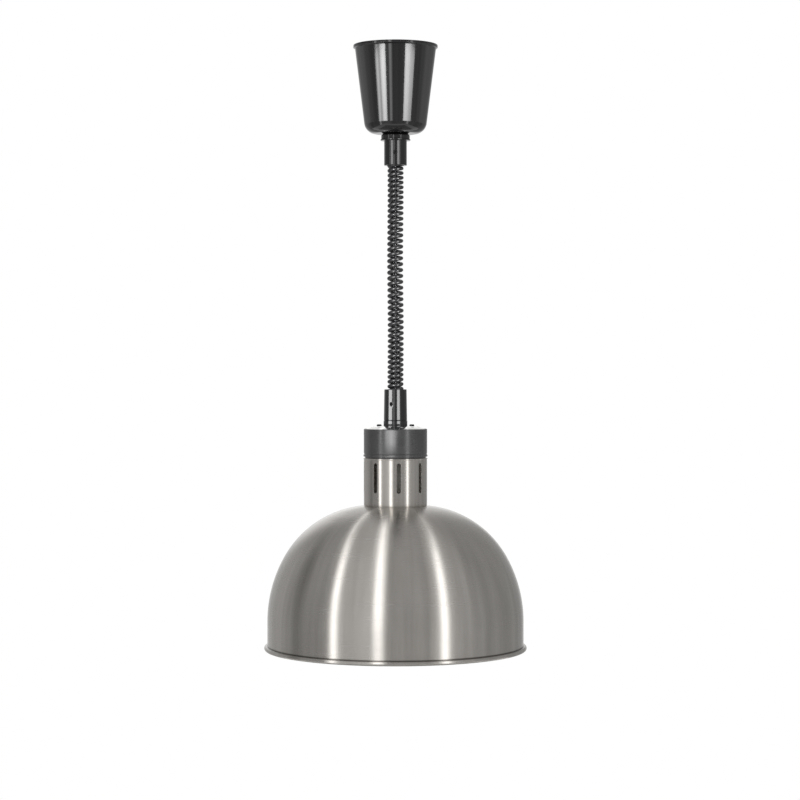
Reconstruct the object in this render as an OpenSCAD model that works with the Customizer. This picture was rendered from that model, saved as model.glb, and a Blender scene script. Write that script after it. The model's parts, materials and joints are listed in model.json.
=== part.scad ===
// Rise-and-fall pendant heat lamp with a spring reel, a curly cord, a vented neck and a dome shade.
// Millimetres, +Z up. The origin is the centre of the mounting plate's top face, on the ceiling.

/* [Canopy] */
// Height of the canopy, from the ceiling to the outside of its floor
canopy_h = 97.5; // [94:0.5:125]
// Outer diameter of the canopy at the ceiling, without its lip
canopy_d = 90.4; // [88:0.4:110]
// Angle at which the canopy narrows downwards
canopy_taper = 7.1; // [3:0.1:9]
// Radius of the round corner at the canopy's floor
canopy_corner_r = 13; // [8:0.5:18]
// Sheet thickness of the canopy
canopy_wall = 1.2; // [0.8:0.1:1.6]
// Width by which the rolled lip stands proud of the canopy
lip_w = 1.4; // [0.8:0.1:3]
// Height of the rolled lip
lip_h = 3.4; // [2:0.2:6]

/* [Mounting plate] */
// Thickness of the mounting plate
plate_t = 1.5; // [1:0.1:2.5]
// Distance between the two ceiling screws
screw_spacing = 60; // [56:1:66]
// Width of the slots for the ceiling screws
slot_w = 4.8; // [4:0.2:5.6]
// Length of the slots for the ceiling screws
slot_l = 10; // [7:0.5:11]
// Diameter of the hole for the supply cable
entry_d = 12; // [8:0.5:13]

/* [Spring reel] */
// Diameter of the steel lift wire
wire_d = 1.2; // [0.8:0.1:1.6]
// Distance from the reel's axis to the middle of the wire where it leaves the drum
winding_r = 15; // [14:0.25:16]
// Radius of the drum's core, under the wound wire
core_r = 11; // [9:0.25:12.5]
// Clear width of the drum's winding channel
channel_w = 6.4; // [5:0.2:7]
// Thickness of the drum's flanges and of its spring barrel
flange_t = 1.2; // [0.8:0.1:1.5]
// Inside depth of the spring barrel
barrel_depth = 6; // [5:0.25:6.5]
// Diameter of the reel's axle
axle_d = 6; // [5:0.25:7]
// Depth of the reel's axis below the ceiling
reel_drop = 38; // [34:0.5:42]
// Sheet thickness of the reel frame
frame_t = 1.5; // [1:0.1:2]

/* [Cord] */
// Diameter of the curly cord's cable
cord_d = 4.3; // [3.6:0.1:4.6]
// Outer diameter of the coil
coil_d = 18; // [16.4:0.2:19]
// Length of coil that shows between the two ferrules
coil_l = 246.7; // [200:0.1:400]

/* [Ferrules] */
// Outer diameter of the upper ferrule
upper_ferrule_d = 25; // [24.4:0.2:28]
// Length of the upper ferrule below its flange
upper_ferrule_l = 27.5; // [24:0.5:40]
// Diameter of the upper ferrule's flange
ferrule_flange_d = 33; // [32:0.5:38]
// Height of the upper ferrule's flange
ferrule_flange_h = 7.5; // [5:0.5:10]
// Outer diameter of the lower ferrule at its top
lower_ferrule_d = 24.7; // [24.4:0.1:26]
// Length of the lower ferrule above the top cover
lower_ferrule_l = 40; // [36:0.5:60]
// Diameter of the grub screws
grub_d = 4; // [3:0.5:5]

/* [Collar] */
// Outer diameter of the collar and of the neck
collar_d = 70; // [68:0.5:80]
// Height of the collar
collar_h = 32; // [31:0.5:45]
// Wall thickness of the collar
collar_wall = 3.2; // [2.8:0.1:4]
// Height of the top cover's dome above the collar
cover_rise = 3.5; // [2:0.25:6]
// Sheet thickness of the top cover
cover_t = 0.9; // [0.6:0.1:1.2]
// Thickness of the bridge plate that carries the lamp head
bridge_t = 1.5; // [1:0.1:2]
// Depth of the bridge plate's top below the collar's top
bridge_drop = 4.5; // [4:0.25:6]

/* [Neck] */
// Height of the vented neck
neck_h = 53.3; // [46:0.1:70]
// Sheet thickness of the neck
neck_wall = 0.8; // [0.6:0.1:1.2]
// Number of vent slots around the neck
vent_count = 8; // [4:1:10]
// Width of a vent slot
vent_w = 4.7; // [3:0.1:7]
// Length of a vent slot
vent_l = 33; // [20:0.5:36]

/* [Shade] */
// Outer diameter of the shade's straight skirt
shade_d = 283; // [250:1:320]
// Radius of the lower curve of the dome
lower_curve_r = 145; // [125:1:170]
// Height of the straight skirt, down to the middle of the rolled rim
skirt_h = 29.2; // [18:0.2:50]
// Sheet thickness of the shade
shade_wall = 0.8; // [0.6:0.1:1.2]
// Thickness of the rolled rim
rim_d = 5; // [3:0.25:7]

/* [Lampholder and bulb] */
// Height of the ceramic lampholder
holder_h = 45; // [42:0.5:50]
// Diameter of the ceramic lampholder
holder_d = 41; // [38:0.5:43]
// Diameter of the bulb
bulb_d = 125; // [95:1:130]
// Length of the bulb, with its cap
bulb_l = 178; // [165:1:190]
// Diameter of the bulb's screw cap over its thread
cap_d = 26.4; // [26:0.1:26.6]

/* [Hidden] */
$fn = 72;

// Clearances: a running fit, a hand fit between fixed pieces, and room around what slides or stretches.
run_gap = 0.05;
hand_gap = 0.1;
slide_gap = 0.3;
coil_gap = 0.6;

// Screws, from the smallest.
m3_d = 3;
m3_head_d = 5.4;
m3_head_h = 1.8;
nut_h = 4;

// Levels, from the ceiling down.
z_floor = -canopy_h;
z_upper_mouth = z_floor - ferrule_flange_h - upper_ferrule_l;
coil_seat_up = 6.5;
z_coil_top = z_upper_mouth + coil_seat_up;
z_lower_mouth = z_upper_mouth - coil_l;
coil_seat_low = 9;
z_coil_bottom = z_lower_mouth - coil_seat_low;
lower_bush_l = 14;
z_bush_seat = z_coil_bottom - lower_bush_l;
z_crown = z_lower_mouth - lower_ferrule_l;
z_collar = z_crown - cover_rise;
z_bridge = z_collar - bridge_drop;
z_bridge_under = z_bridge - bridge_t;
z_shank_end = z_bridge_under - nut_h - 1.5;
z_neck = z_collar - collar_h;
z_shade = z_neck - neck_h;

// Ferrules, cord and bushes.
bore_r = coil_d / 2 + coil_gap;
coil_inner_r = coil_d / 2 - cord_d;
upper_bush_r = bore_r - slide_gap;
lower_bush_r = bore_r - hand_gap;
tail_x = coil_d / 2 - cord_d / 2 - 0.45;
tail_hole_r = cord_d / 2 + hand_gap;
wire_hole_r = wire_d / 2 + coil_gap;
shank_r = bore_r + 0.4;
shank_bore_r = bore_r - 1;
ferrule_flare = 1;
canopy_shank_r = upper_ferrule_d / 2 - 0.5;
base_ring_r = lower_ferrule_d / 2 + ferrule_flare / 2 + 0.3;
base_ring_h = 5.5;

// Canopy: a tapered wall that meets the floor in a round corner.
canopy_r = canopy_d / 2;
corner_x = canopy_r - tan(canopy_taper) * (canopy_h - canopy_corner_r * (1 - sin(canopy_taper)))
    - canopy_corner_r * cos(canopy_taper);
canopy_corner = [corner_x, z_floor + canopy_corner_r];
canopy_nut_h = 4;
plate_gap = 2.5;
plate_r = canopy_r - canopy_wall - plate_gap;
entry_at = [22, 23];
earth_at = [22, -23];

// Reel frame: two cheeks with ears under the plate, and a web that carries the upper cord bush.
z_plate_under = -plate_t;
web_gap = 9.5;
z_web_under = z_floor + web_gap;
z_web = z_web_under + frame_t;
flange_r = winding_r + 2.5;
channel_half = channel_w / 2;
drum_half = channel_half + flange_t;
barrel_end = drum_half + barrel_depth;
washer_t = 1;
cheek_gap = 0.1;
cheek_in = barrel_end + washer_t + cheek_gap;
cheek_out = cheek_in + frame_t;
ear_w = 9;
ear_out = cheek_out + ear_w;
web_half = 12;
frame_back_room = 13;
frame_back = winding_r + frame_back_room;
frame_front = 10;
cheek_under_axle = 10;
cheek_front_under_axle = 22;
cheek_foot_h = 16;
rivet_edge = 7;
rivet_x = [-frame_back + rivet_edge, frame_front - rivet_edge + 1];
rivet_y = cheek_out + ear_w / 2;
bush_flange_h = 2.5;
bush_flange_r = upper_bush_r + 2.2;
axle_head_h = 2;

// Terminal block under the plate.
block_x = 20;
block_size = [15, 30, 14];
z_block_under = z_plate_under - block_size[2];
block_ways = 3;
way_pitch = 9;
core_d = 1.3;
way_depth = 9;

// Collar, cover and bridge.
collar_r = collar_d / 2;
collar_in_r = collar_r - collar_wall;
rebate_h = 1.3;
cover_r = collar_in_r + 1.5;
rebate_r = cover_r + hand_gap;
crown_r = base_ring_r + 1;
dome_sag = cover_rise + 0.4;
dome_r = (pow(cover_r - crown_r, 2) + dome_sag * dome_sag) / (2 * dome_sag);
bridge_r = collar_in_r - hand_gap;
ledge_w = 1.9;
ledge_h = 2.4;
post_x = 18;
post_r = 3;
tie_r = collar_in_r - ledge_w - m3_d / 2 - 0.4;
tie_angles = [90, 210, 330];
cover_vents = 12;
cover_vent_d = 3.2;
cover_vent_at = (post_x + m3_head_d / 2 + cover_r - 1.5) / 2;
sleeve_r = shank_r + 3;

// Neck: a spigot inside the collar, a vented tube, and a spigot through the shade.
neck_r = collar_r - 0.05;
spigot_r = collar_in_r - 0.15;
spigot_h = 8.5;
z_spigot = z_neck + spigot_h;
tie_flange_r = tie_r - m3_d / 2 - 2;
vent_drop = 5;
vent_turn = 6;
low_spigot_r = neck_r - 2;
low_spigot_h = 8;

// Lampholder on two posts under the bridge.
holder_plate_t = 1.2;
holder_plate_r = post_x + 4.5;
z_holder_plate = z_spigot + 0.4;
z_holder = z_holder_plate - holder_plate_t;
z_holder_mouth = z_holder - holder_h;
shell_gap = 0.3;
shell_in_r = cap_d / 2 + shell_gap;
shell_out_r = shell_in_r + 0.8;
cavity_r = shell_out_r + hand_gap;
contact_h = 2;
cap_l = 27;
mouth_gap = 1;
z_contact = z_holder_mouth + mouth_gap + cap_l;
z_cavity = z_contact + contact_h;
thread_pitch = 3.63;

// Dome: two arcs, the upper one tangent to the lower, which is vertical where the skirt starts.
skirt_r = shade_d / 2;
start_slope = 4.3;
mid_slope = 60;
upper_curve_r = (skirt_r - neck_r - lower_curve_r * (1 - sin(mid_slope)))
    / (sin(mid_slope) - sin(start_slope));
upper_centre = [neck_r - upper_curve_r * sin(start_slope), z_shade - upper_curve_r * cos(start_slope)];
lower_centre = [
    skirt_r - lower_curve_r,
    upper_centre[1] + (upper_curve_r - lower_curve_r) * cos(mid_slope)
];
z_skirt = lower_centre[1];
z_rim = z_skirt - skirt_h;
rim_in = 1.5;
rim_centre = [skirt_r - rim_in + rim_d / 2, z_rim];
shade_hole_r = low_spigot_r + hand_gap;
ring_w = 9;
ring_h = 4;
ring_r = low_spigot_r + ring_w;

// Bulb: cap, then a glass neck that flares to the full width, and a shallow round face.
bulb_r = bulb_d / 2;
cap_wall = 0.5;
z_bulb = z_contact;
z_cap_end = z_bulb - cap_l;
z_face = z_bulb - bulb_l;
glass_t = 1;
glass_top_r = cap_d / 2 - cap_wall - 1;
glass_neck_r = 17.5;
glass_in_cap = 8;
face_h = 22;
flare_l = 74;
z_wide = z_face + face_h;
z_flare = z_wide + flare_l;

// ---- Shapes that repeat ----

function arc(centre, r, from, to, steps) =
    [for (i = [0:steps]) centre + r * [cos(from + (to - from) * i / steps), sin(from + (to - from) * i / steps)]];

function bezier(a, b, c, d, u) =
    pow(1 - u, 3) * a + 3 * pow(1 - u, 2) * u * b + 3 * (1 - u) * u * u * c + u * u * u * d;

function curve(a, b, c, d, steps) = [for (i = [0:steps]) bezier(a, b, c, d, i / steps)];

function unit(v) = v / norm(v);

// A cable along a path that lies in one upright plane, whose normal is across.
module cable(path, across, d, sides = 10) {
    last = len(path) - 1;
    rings = [
        for (i = [0:last])
            let (
                ahead = unit(path[min(i + 1, last)] - path[max(i - 1, 0)]),
                side = cross(ahead, across)
            )
            for (k = [0:sides - 1])
                path[i] + d / 2 * (cos(360 * k / sides) * across + sin(360 * k / sides) * side)
    ];
    walls = [
        for (i = [0:last - 1])
            for (k = [0:sides - 1])
                let (n = (k + 1) % sides)
                [i * sides + k, i * sides + n, (i + 1) * sides + n, (i + 1) * sides + k]
    ];
    start = [for (k = [sides - 1:-1:0]) k];
    end = [for (k = [0:sides - 1]) last * sides + k];
    polyhedron(points = rings, faces = concat([start], walls, [end]), convexity = 6);
}

// A path between two points whose first and last stretches are upright.
function upright(from, to, from_pull, to_pull, steps) =
    let (
        a = from + [0, 0, 0.4 * sign(from_pull)],
        b = to + [0, 0, 0.4 * sign(to_pull)]
    )
    concat([from], curve(a, a + [0, 0, from_pull], b + [0, 0, to_pull], b, steps), [to]);

// A thin lead between two points.
module lead(from, to, from_pull, to_pull, d) {
    flat = [to[0] - from[0], to[1] - from[1], 0];
    across = norm(flat) < 0.001 ? [0, 1, 0] : unit(cross([0, 0, 1], flat));
    cable(upright(from, to, from_pull, to_pull, 9), across, d, 8);
}

module ring(outer_r, inner_r, z_top, z_under) {
    translate([0, 0, z_under])
        difference() {
            cylinder(r = outer_r, h = z_top - z_under);
            translate([0, 0, -1])
                cylinder(r = inner_r, h = z_top - z_under + 2);
        }
}

// A hexagon nut around a round hole.
module hex_nut(across_flats, inner_r, z_top, z_under) {
    translate([0, 0, z_under])
        difference() {
            cylinder(r = across_flats / 2 / cos(30), h = z_top - z_under, $fn = 6);
            translate([0, 0, -1])
                cylinder(r = inner_r, h = z_top - z_under + 2);
        }
}

// A pan-head screw whose head stands up from z = 0 and whose shank goes down.
module pan_screw(d, head_d, head_h, l) {
    recess_w = d / 4;
    difference() {
        rotate_extrude()
            polygon(concat(
                [[0, -l], [d / 2, -l], [d / 2, 0], [head_d / 2, 0]],
                arc([head_d / 2 - head_h * 0.6, head_h * 0.4], head_h * 0.6, 0, 90, 4),
                [[0, head_h]]
            ));
        for (turn = [0, 90])
            rotate([0, 0, turn])
                translate([-head_d / 4, -recess_w / 2, head_h * 0.45])
                    cube([head_d / 2, recess_w, head_h]);
    }
}

// A grub screw along +X from x = from_r to x = to_r, with a hexagon socket at its outer end.
module grub_screw(d, from_r, to_r) {
    l = to_r - from_r;
    translate([from_r, 0, 0])
        rotate([0, 90, 0])
            difference() {
                cylinder(r = d / 2, h = l);
                translate([0, 0, l * 0.4])
                    cylinder(r = d * 0.29, h = l, $fn = 6);
            }
}

// Puts its children on the reel's axis, with their Z along +Y.
module on_reel() {
    translate([-winding_r, 0, -reel_drop])
        rotate([-90, 0, 0])
            children();
}

// Puts its children at an angle from the front, which is -Y, with their X pointing outwards.
module facing(angle, z) {
    translate([0, 0, z])
        rotate([0, 0, angle - 90])
            children();
}

// ---- Ceiling side ----

module mounting_plate() {
    color("lightgray")
        difference() {
            translate([0, 0, -plate_t])
                cylinder(r = plate_r, h = plate_t);
            for (side = [-1, 1])
                translate([0, side * screw_spacing / 2, -plate_t - 1])
                    linear_extrude(plate_t + 2)
                        slot_outline();
            translate([entry_at[0], entry_at[1], -plate_t - 1])
                cylinder(r = entry_d / 2, h = plate_t + 2);
        }
}

module slot_outline() {
    run = slot_l - slot_w;
    square([slot_w, run], center = true);
    for (end = [-1, 1])
        translate([0, end * run / 2])
            circle(r = slot_w / 2);
}

module reel_frame() {
    color("silver")
        difference() {
            union() {
                for (side = [-1, 1]) {
                    translate([0, side > 0 ? cheek_out : -cheek_in, 0])
                        rotate([90, 0, 0])
                            linear_extrude(frame_t)
                                cheek_outline();
                    translate([-frame_back, side > 0 ? cheek_in : -ear_out, z_plate_under - frame_t])
                        cube([frame_back + frame_front, ear_out - cheek_in, frame_t]);
                }
                translate([-web_half, -cheek_out, z_web_under])
                    cube([2 * web_half, 2 * cheek_out, frame_t]);
            }
            translate([0, 0, z_web_under - 1])
                cylinder(r = upper_bush_r + hand_gap, h = frame_t + 2);
            on_reel()
                translate([0, 0, -cheek_out - 1])
                    cylinder(r = axle_d / 2 + run_gap, h = 2 * cheek_out + 2);
        }
}

module cheek_outline() {
    polygon([
        [-frame_back, z_plate_under - frame_t],
        [-frame_back, -reel_drop - cheek_under_axle],
        [-web_half, z_web + cheek_foot_h],
        [-web_half, z_web_under],
        [web_half, z_web_under],
        [web_half, -reel_drop - cheek_front_under_axle],
        [frame_front, z_plate_under - frame_t]
    ]);
}

module frame_rivets() {
    color("silver")
        for (x = rivet_x, side = [-1, 1])
            translate([x, side * rivet_y, z_plate_under - frame_t - 1.4])
                cylinder(r1 = 2.2, r2 = 3, h = 1.4);
}

module reel_axle() {
    color("gray")
        on_reel() {
            translate([0, 0, -cheek_out - axle_head_h])
                cylinder(r = axle_d / 2 + 2, h = axle_head_h);
            translate([0, 0, -cheek_out])
                cylinder(r = axle_d / 2, h = 2 * cheek_out + nut_h + 1);
        }
}

module axle_nut() {
    color("silver")
        on_reel()
            hex_nut(axle_d + 4, axle_d / 2 + run_gap, cheek_out + nut_h, cheek_out);
}

module axle_spacers() {
    color("ivory")
        on_reel() {
            ring(axle_d / 2 + 2.5, axle_d / 2 + run_gap, -drum_half - cheek_gap, -cheek_in);
            ring(axle_d / 2 + 2.5, axle_d / 2 + run_gap, cheek_in, cheek_in - washer_t);
        }
}

module upper_cord_bush() {
    color("dimgray")
        difference() {
            union() {
                translate([0, 0, z_coil_top])
                    cylinder(r = upper_bush_r, h = z_web - z_coil_top);
                translate([0, 0, z_web])
                    cylinder(r = bush_flange_r, h = bush_flange_h);
            }
            bush_holes(z_coil_top, z_web + bush_flange_h);
        }
}

module bush_holes(z_under, z_top) {
    translate([0, 0, z_under - 1])
        cylinder(r = wire_hole_r, h = z_top - z_under + 2);
    translate([tail_x, 0, z_under - 1])
        cylinder(r = tail_hole_r, h = z_top - z_under + 2);
}

module bush_nut() {
    color("dimgray")
        ring(bush_flange_r, upper_bush_r + run_gap, z_web_under, z_web_under - 3);
}

module terminal_block() {
    color("ivory")
        difference() {
            translate([block_x - block_size[0] / 2, -block_size[1] / 2, z_block_under])
                cube(block_size);
            for (k = [0:block_ways - 1]) {
                y = way_y(k);
                translate([block_x, y, z_block_under - 1])
                    cylinder(r = core_d / 2 + 0.4, h = way_depth);
                translate([block_x + block_size[0] / 2 + 1, y, z_block_under + block_size[2] / 2])
                    rotate([0, -90, 0])
                        cylinder(r = 2.4, h = 4);
            }
        }
}

function way_y(k) = (k - (block_ways - 1) / 2) * way_pitch;

module terminal_screws() {
    color("gold")
        for (k = [0:block_ways - 1])
            translate([block_x + block_size[0] / 2 - 2.4, way_y(k), z_block_under + block_size[2] / 2])
                rotate([0, 90, 0])
                    difference() {
                        translate([0, 0, -0.6])
                            cylinder(r = 2.1, h = 2.2);
                        translate([-3, -0.4, 1])
                            cube([6, 0.8, 2]);
                    }
}

module block_screw() {
    color("silver")
        translate([block_x - block_size[0] / 2 - 3, 0, 0])
            union() {
                translate([-2.8, -5, z_plate_under - 1])
                    cube([5.8, 10, 1]);
                translate([0, 0, z_plate_under - 1])
                    rotate([180, 0, 0])
                        pan_screw(m3_d, m3_head_d, m3_head_h, 0.9);
            }
}

module earth_tag() {
    color("gold")
        difference() {
            translate([earth_at[0], earth_at[1], z_plate_under - 0.8])
                union() {
                    cylinder(r = 4, h = 0.8);
                    translate([-1.5, 0, 0])
                        cube([3, 7, 0.8]);
                }
            translate([earth_at[0], earth_at[1], z_plate_under - 2])
                cylinder(r = m3_d / 2 + hand_gap, h = 3);
        }
}

module earth_screw() {
    color("gold")
        translate([earth_at[0], earth_at[1], z_plate_under - 0.8])
            rotate([180, 0, 0])
                pan_screw(m3_d, m3_head_d, m3_head_h, 0.8);
}

sheath_end = z_block_under - 14;

module upper_cord_tail() {
    z_bush_top = z_web + bush_flange_h;
    rise = (sheath_end - z_bush_top) * 0.45;
    color("black")
        cable(
            concat(
                [[tail_x, 0, z_coil_top]],
                upright([tail_x, 0, z_bush_top], [block_x, 0, sheath_end], rise, -rise, 10)
            ),
            [0, 1, 0], cord_d
        );
}

module supply_cores() {
    spread = 0.7;
    color("saddlebrown")
        for (k = [0:block_ways - 1])
            lead(
                [block_x, (k - 1) * 2 * spread, sheath_end], [block_x, way_y(k), z_block_under + 3],
                5, -8, core_d
            );
}

// ---- Spring reel ----

module reel_drum() {
    bore = axle_d / 2 + run_gap;
    color("whitesmoke")
        on_reel()
            rotate_extrude()
                polygon([
                    [bore, -drum_half], [flange_r, -drum_half], [flange_r, -channel_half],
                    [core_r, -channel_half], [core_r, channel_half], [flange_r, channel_half],
                    [flange_r, barrel_end], [flange_r - flange_t, barrel_end],
                    [flange_r - flange_t, drum_half], [bore, drum_half]
                ]);
}

module wire_winding() {
    color("silver")
        on_reel()
            ring(
                winding_r - wire_d / 2 - hand_gap, core_r + run_gap,
                channel_half - hand_gap, -channel_half + hand_gap
            );
}

module power_spring() {
    turns = 7;
    steps = 20;
    strip_t = 0.4;
    inner = axle_d / 2 + 0.5 + strip_t / 2;
    outer = flange_r - flange_t - 0.5;
    function spiral(i, side) =
        let (r = inner + (outer - inner) * i / (turns * steps) + side * strip_t / 2, a = 360 * i / steps)
        r * [cos(a), sin(a)];
    color("slategray")
        on_reel()
            translate([0, 0, drum_half + 0.3])
                linear_extrude(barrel_depth - 2)
                    polygon(concat(
                        [for (i = [0:turns * steps]) spiral(i, -1)],
                        [for (i = [turns * steps:-1:0]) spiral(i, 1)]
                    ));
}

module barrel_cover() {
    color("lightgray")
        on_reel()
            ring(flange_r - flange_t - run_gap, axle_d / 2 + run_gap, barrel_end, barrel_end - 1);
}

// ---- Canopy ----

module canopy() {
    mouth_in_r = canopy_r - canopy_wall / cos(canopy_taper);
    color([0.03, 0.03, 0.03])
        rotate_extrude() {
            polygon(concat(
                [[canopy_r, 0]],
                arc(canopy_corner, canopy_corner_r, -canopy_taper, -90, 10),
                [[canopy_shank_r + hand_gap, z_floor], [canopy_shank_r + hand_gap, z_floor + canopy_wall]],
                arc(canopy_corner, canopy_corner_r - canopy_wall, -90, -canopy_taper, 10),
                [[mouth_in_r, 0]]
            ));
            polygon(concat(
                [[canopy_r - canopy_wall / 2, 0]],
                arc([canopy_r + lip_w - 0.8, -0.8], 0.8, 90, 0, 3),
                arc([canopy_r + lip_w - 0.8, -lip_h + 0.8], 0.8, 0, -90, 3),
                [[canopy_r - canopy_wall / 2, -lip_h - 0.6]]
            ));
        }
}

module upper_ferrule() {
    r = upper_ferrule_d / 2;
    rim_r = ferrule_flange_d / 2;
    z_flange = z_floor - ferrule_flange_h;
    color([0.04, 0.04, 0.04])
        difference() {
            rotate_extrude()
                polygon([
                    [bore_r, z_upper_mouth], [r - 0.4, z_upper_mouth], [r, z_upper_mouth + 0.4],
                    [r, z_flange], [rim_r, z_flange], [rim_r, z_flange + 1.2],
                    [rim_r - 0.7, z_flange + 1.6], [rim_r - 0.7, z_floor - 2.2], [rim_r - 2.6, z_floor],
                    [canopy_shank_r, z_floor], [canopy_shank_r, z_floor + canopy_wall + canopy_nut_h],
                    [bore_r, z_floor + canopy_wall + canopy_nut_h]
                ]);
            facing(0, z_grub_up)
                rotate([0, 90, 0])
                    cylinder(r = grub_d / 2 + run_gap, h = r + 5);
        }
}

z_grub_up = z_upper_mouth + upper_ferrule_l / 2;
z_grub_low = z_coil_bottom - lower_bush_l / 2;
grub_turn = -22;

module canopy_nut() {
    color("silver")
        hex_nut(
            2 * canopy_shank_r + 6, canopy_shank_r + run_gap,
            z_floor + canopy_wall + canopy_nut_h, z_floor + canopy_wall
        );
}

module canopy_grub_screw() {
    color("black")
        facing(0, z_grub_up)
            grub_screw(grub_d, bore_r, upper_ferrule_d / 2 - 0.3);
}

// ---- Suspension ----

module curly_cord() {
    color([0.05, 0.05, 0.05])
        ring(coil_d / 2, coil_inner_r, z_coil_top, z_coil_bottom);
}

module lift_wire() {
    color("silver")
        translate([0, 0, z_bush_seat])
            cylinder(r = wire_d / 2, h = -reel_drop - z_bush_seat);
}

// ---- Lamp head ----

module lower_ferrule() {
    r_top = lower_ferrule_d / 2;
    r_low = r_top + ferrule_flare / 2;
    z_ring = z_crown + base_ring_h;
    color([0.04, 0.04, 0.04])
        difference() {
            rotate_extrude()
                polygon([
                    [bore_r, z_lower_mouth], [r_top - 0.4, z_lower_mouth], [r_top, z_lower_mouth - 0.4],
                    [r_low, z_ring + 0.6], [r_low - 0.5, z_ring], [base_ring_r - 0.3, z_ring],
                    [base_ring_r, z_ring - 0.3], [base_ring_r, z_crown], [shank_r, z_crown],
                    [shank_r, z_shank_end], [shank_bore_r, z_shank_end], [shank_bore_r, z_bush_seat],
                    [bore_r, z_bush_seat]
                ]);
            facing(grub_turn, z_grub_low)
                rotate([0, 90, 0])
                    cylinder(r = grub_d / 2 + run_gap, h = r_low + 5);
        }
}

module lower_cord_bush() {
    color("dimgray")
        difference() {
            translate([0, 0, z_bush_seat])
                cylinder(r = lower_bush_r, h = lower_bush_l);
            bush_holes(z_bush_seat, z_coil_bottom);
        }
}

module wire_anchor() {
    anchor_l = 7;
    color("gold")
        translate([0, 0, z_bush_seat - anchor_l])
            cylinder(r = tail_x - cord_d / 2 - 0.9, h = anchor_l);
}

module head_grub_screw() {
    color("black")
        facing(grub_turn, z_grub_low)
            grub_screw(grub_d, lower_bush_r, lower_ferrule_d / 2 - 0.1);
}

function cover_z(r) = z_crown - (dome_r - sqrt(dome_r * dome_r - pow(max(r - crown_r, 0), 2)));

module top_cover() {
    rim_w = 1.5;
    outline = concat(
        [[shank_r + hand_gap, z_crown], [crown_r, z_crown]],
        [for (i = [1:8]) let (r = crown_r + (cover_r - rim_w - crown_r) * i / 8) [r, cover_z(r)]]
    );
    z_rim_top = z_collar - rebate_h + cover_t;
    under = [for (i = [len(outline) - 1:-1:0]) outline[i] - [0, cover_t]];
    color("silver")
        difference() {
            rotate_extrude()
                polygon(concat(
                    outline, [[cover_r, z_rim_top], [cover_r, z_collar - rebate_h]],
                    [[cover_r - rim_w, z_collar - rebate_h]], under
                ));
            for (side = [-1, 1])
                translate([side * post_x, 0, 0]) {
                    translate([0, 0, z_cover_screw])
                        cylinder(r = m3_head_d / 2 + 0.3, h = 5);
                    translate([0, 0, z_cover_screw - 5])
                        cylinder(r = m3_d / 2 + hand_gap, h = 6);
                }
            for (k = [0:cover_vents - 1])
                rotate([0, 0, (k + 0.5) * 360 / cover_vents])
                    translate([cover_vent_at, 0, z_collar - 5])
                        cylinder(r = cover_vent_d / 2, h = cover_rise + 10);
        }
}

z_cover_screw = cover_z(post_x + m3_head_d / 2);

module cover_screws() {
    reach = 3;
    color("silver")
        for (side = [-1, 1])
            translate([side * post_x, 0, z_cover_screw])
                pan_screw(m3_d, m3_head_d, m3_head_h, z_cover_screw - z_bridge_under + reach);
}

module spacer_sleeve() {
    color("silver")
        ring(min(sleeve_r, post_x - m3_d / 2 - 0.5), shank_r + run_gap, z_crown - cover_t, z_bridge);
}

module collar() {
    lip_r = collar_r + 0.4;
    groove_z = z_neck + 4;
    color([0.08, 0.08, 0.08])
        rotate_extrude()
            polygon(concat(
                [[rebate_r, z_collar]],
                arc([collar_r - 1, z_collar - 1], 1, 90, 0, 4),
                [
                    [collar_r, groove_z + 1], [collar_r - 0.5, groove_z + 0.6],
                    [collar_r - 0.5, groove_z], [collar_r, groove_z - 0.4],
                    [lip_r, z_neck + 2.6], [lip_r, z_neck + 0.5], [lip_r - 0.5, z_neck],
                    [collar_in_r, z_neck], [collar_in_r, z_bridge_under - ledge_h],
                    [collar_in_r - ledge_w, z_bridge_under - ledge_h + 0.6],
                    [collar_in_r - ledge_w, z_bridge_under],
                    [collar_in_r, z_bridge_under], [collar_in_r, z_collar - rebate_h],
                    [rebate_r, z_collar - rebate_h]
                ]
            ));
}

module bridge_plate() {
    color("lightgray")
        difference() {
            ring(bridge_r, shank_r + run_gap, z_bridge, z_bridge_under);
            for (side = [-1, 1])
                translate([side * post_x, 0, z_bridge_under - 1])
                    cylinder(r = m3_d / 2 + hand_gap, h = bridge_t + 2);
            for (a = tie_angles)
                rotate([0, 0, a])
                    translate([tie_r, 0, z_bridge_under - 1])
                        cylinder(r = m3_d / 2 + hand_gap, h = bridge_t + 2);
        }
}

module lock_nut() {
    color("silver")
        hex_nut(2 * (post_x - post_r - 1) * cos(30), shank_r + run_gap, z_bridge_under, z_bridge_under - nut_h);
}

module tie_screws() {
    color("silver")
        for (a = tie_angles)
            rotate([0, 0, a])
                translate([tie_r, 0, z_bridge])
                    pan_screw(m3_d, m3_head_d - 0.8, 1.6, z_bridge - z_spigot + neck_wall + 3.5);
}

module tie_nuts() {
    color("silver")
        for (a = tie_angles)
            rotate([0, 0, a])
                translate([tie_r, 0, 0])
                    rotate([0, 0, 30])
                        hex_nut(5.2, m3_d / 2 + run_gap, z_spigot - neck_wall, z_spigot - neck_wall - 2.4);
}

module holder_posts() {
    color("silver")
        for (side = [-1, 1])
            translate([side * post_x, 0, z_holder_plate])
                difference() {
                    cylinder(r = post_r, h = z_bridge_under - z_holder_plate);
                    translate([0, 0, -1])
                        cylinder(r = m3_d / 2 + run_gap, h = z_bridge_under - z_holder_plate + 2);
                }
}

module holder_plate() {
    color("lightgray")
        difference() {
            ring(holder_plate_r, 8, z_holder_plate, z_holder);
            for (side = [-1, 1])
                translate([side * post_x, 0, z_holder - 1])
                    cylinder(r = m3_d / 2 + hand_gap, h = holder_plate_t + 2);
        }
}

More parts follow.
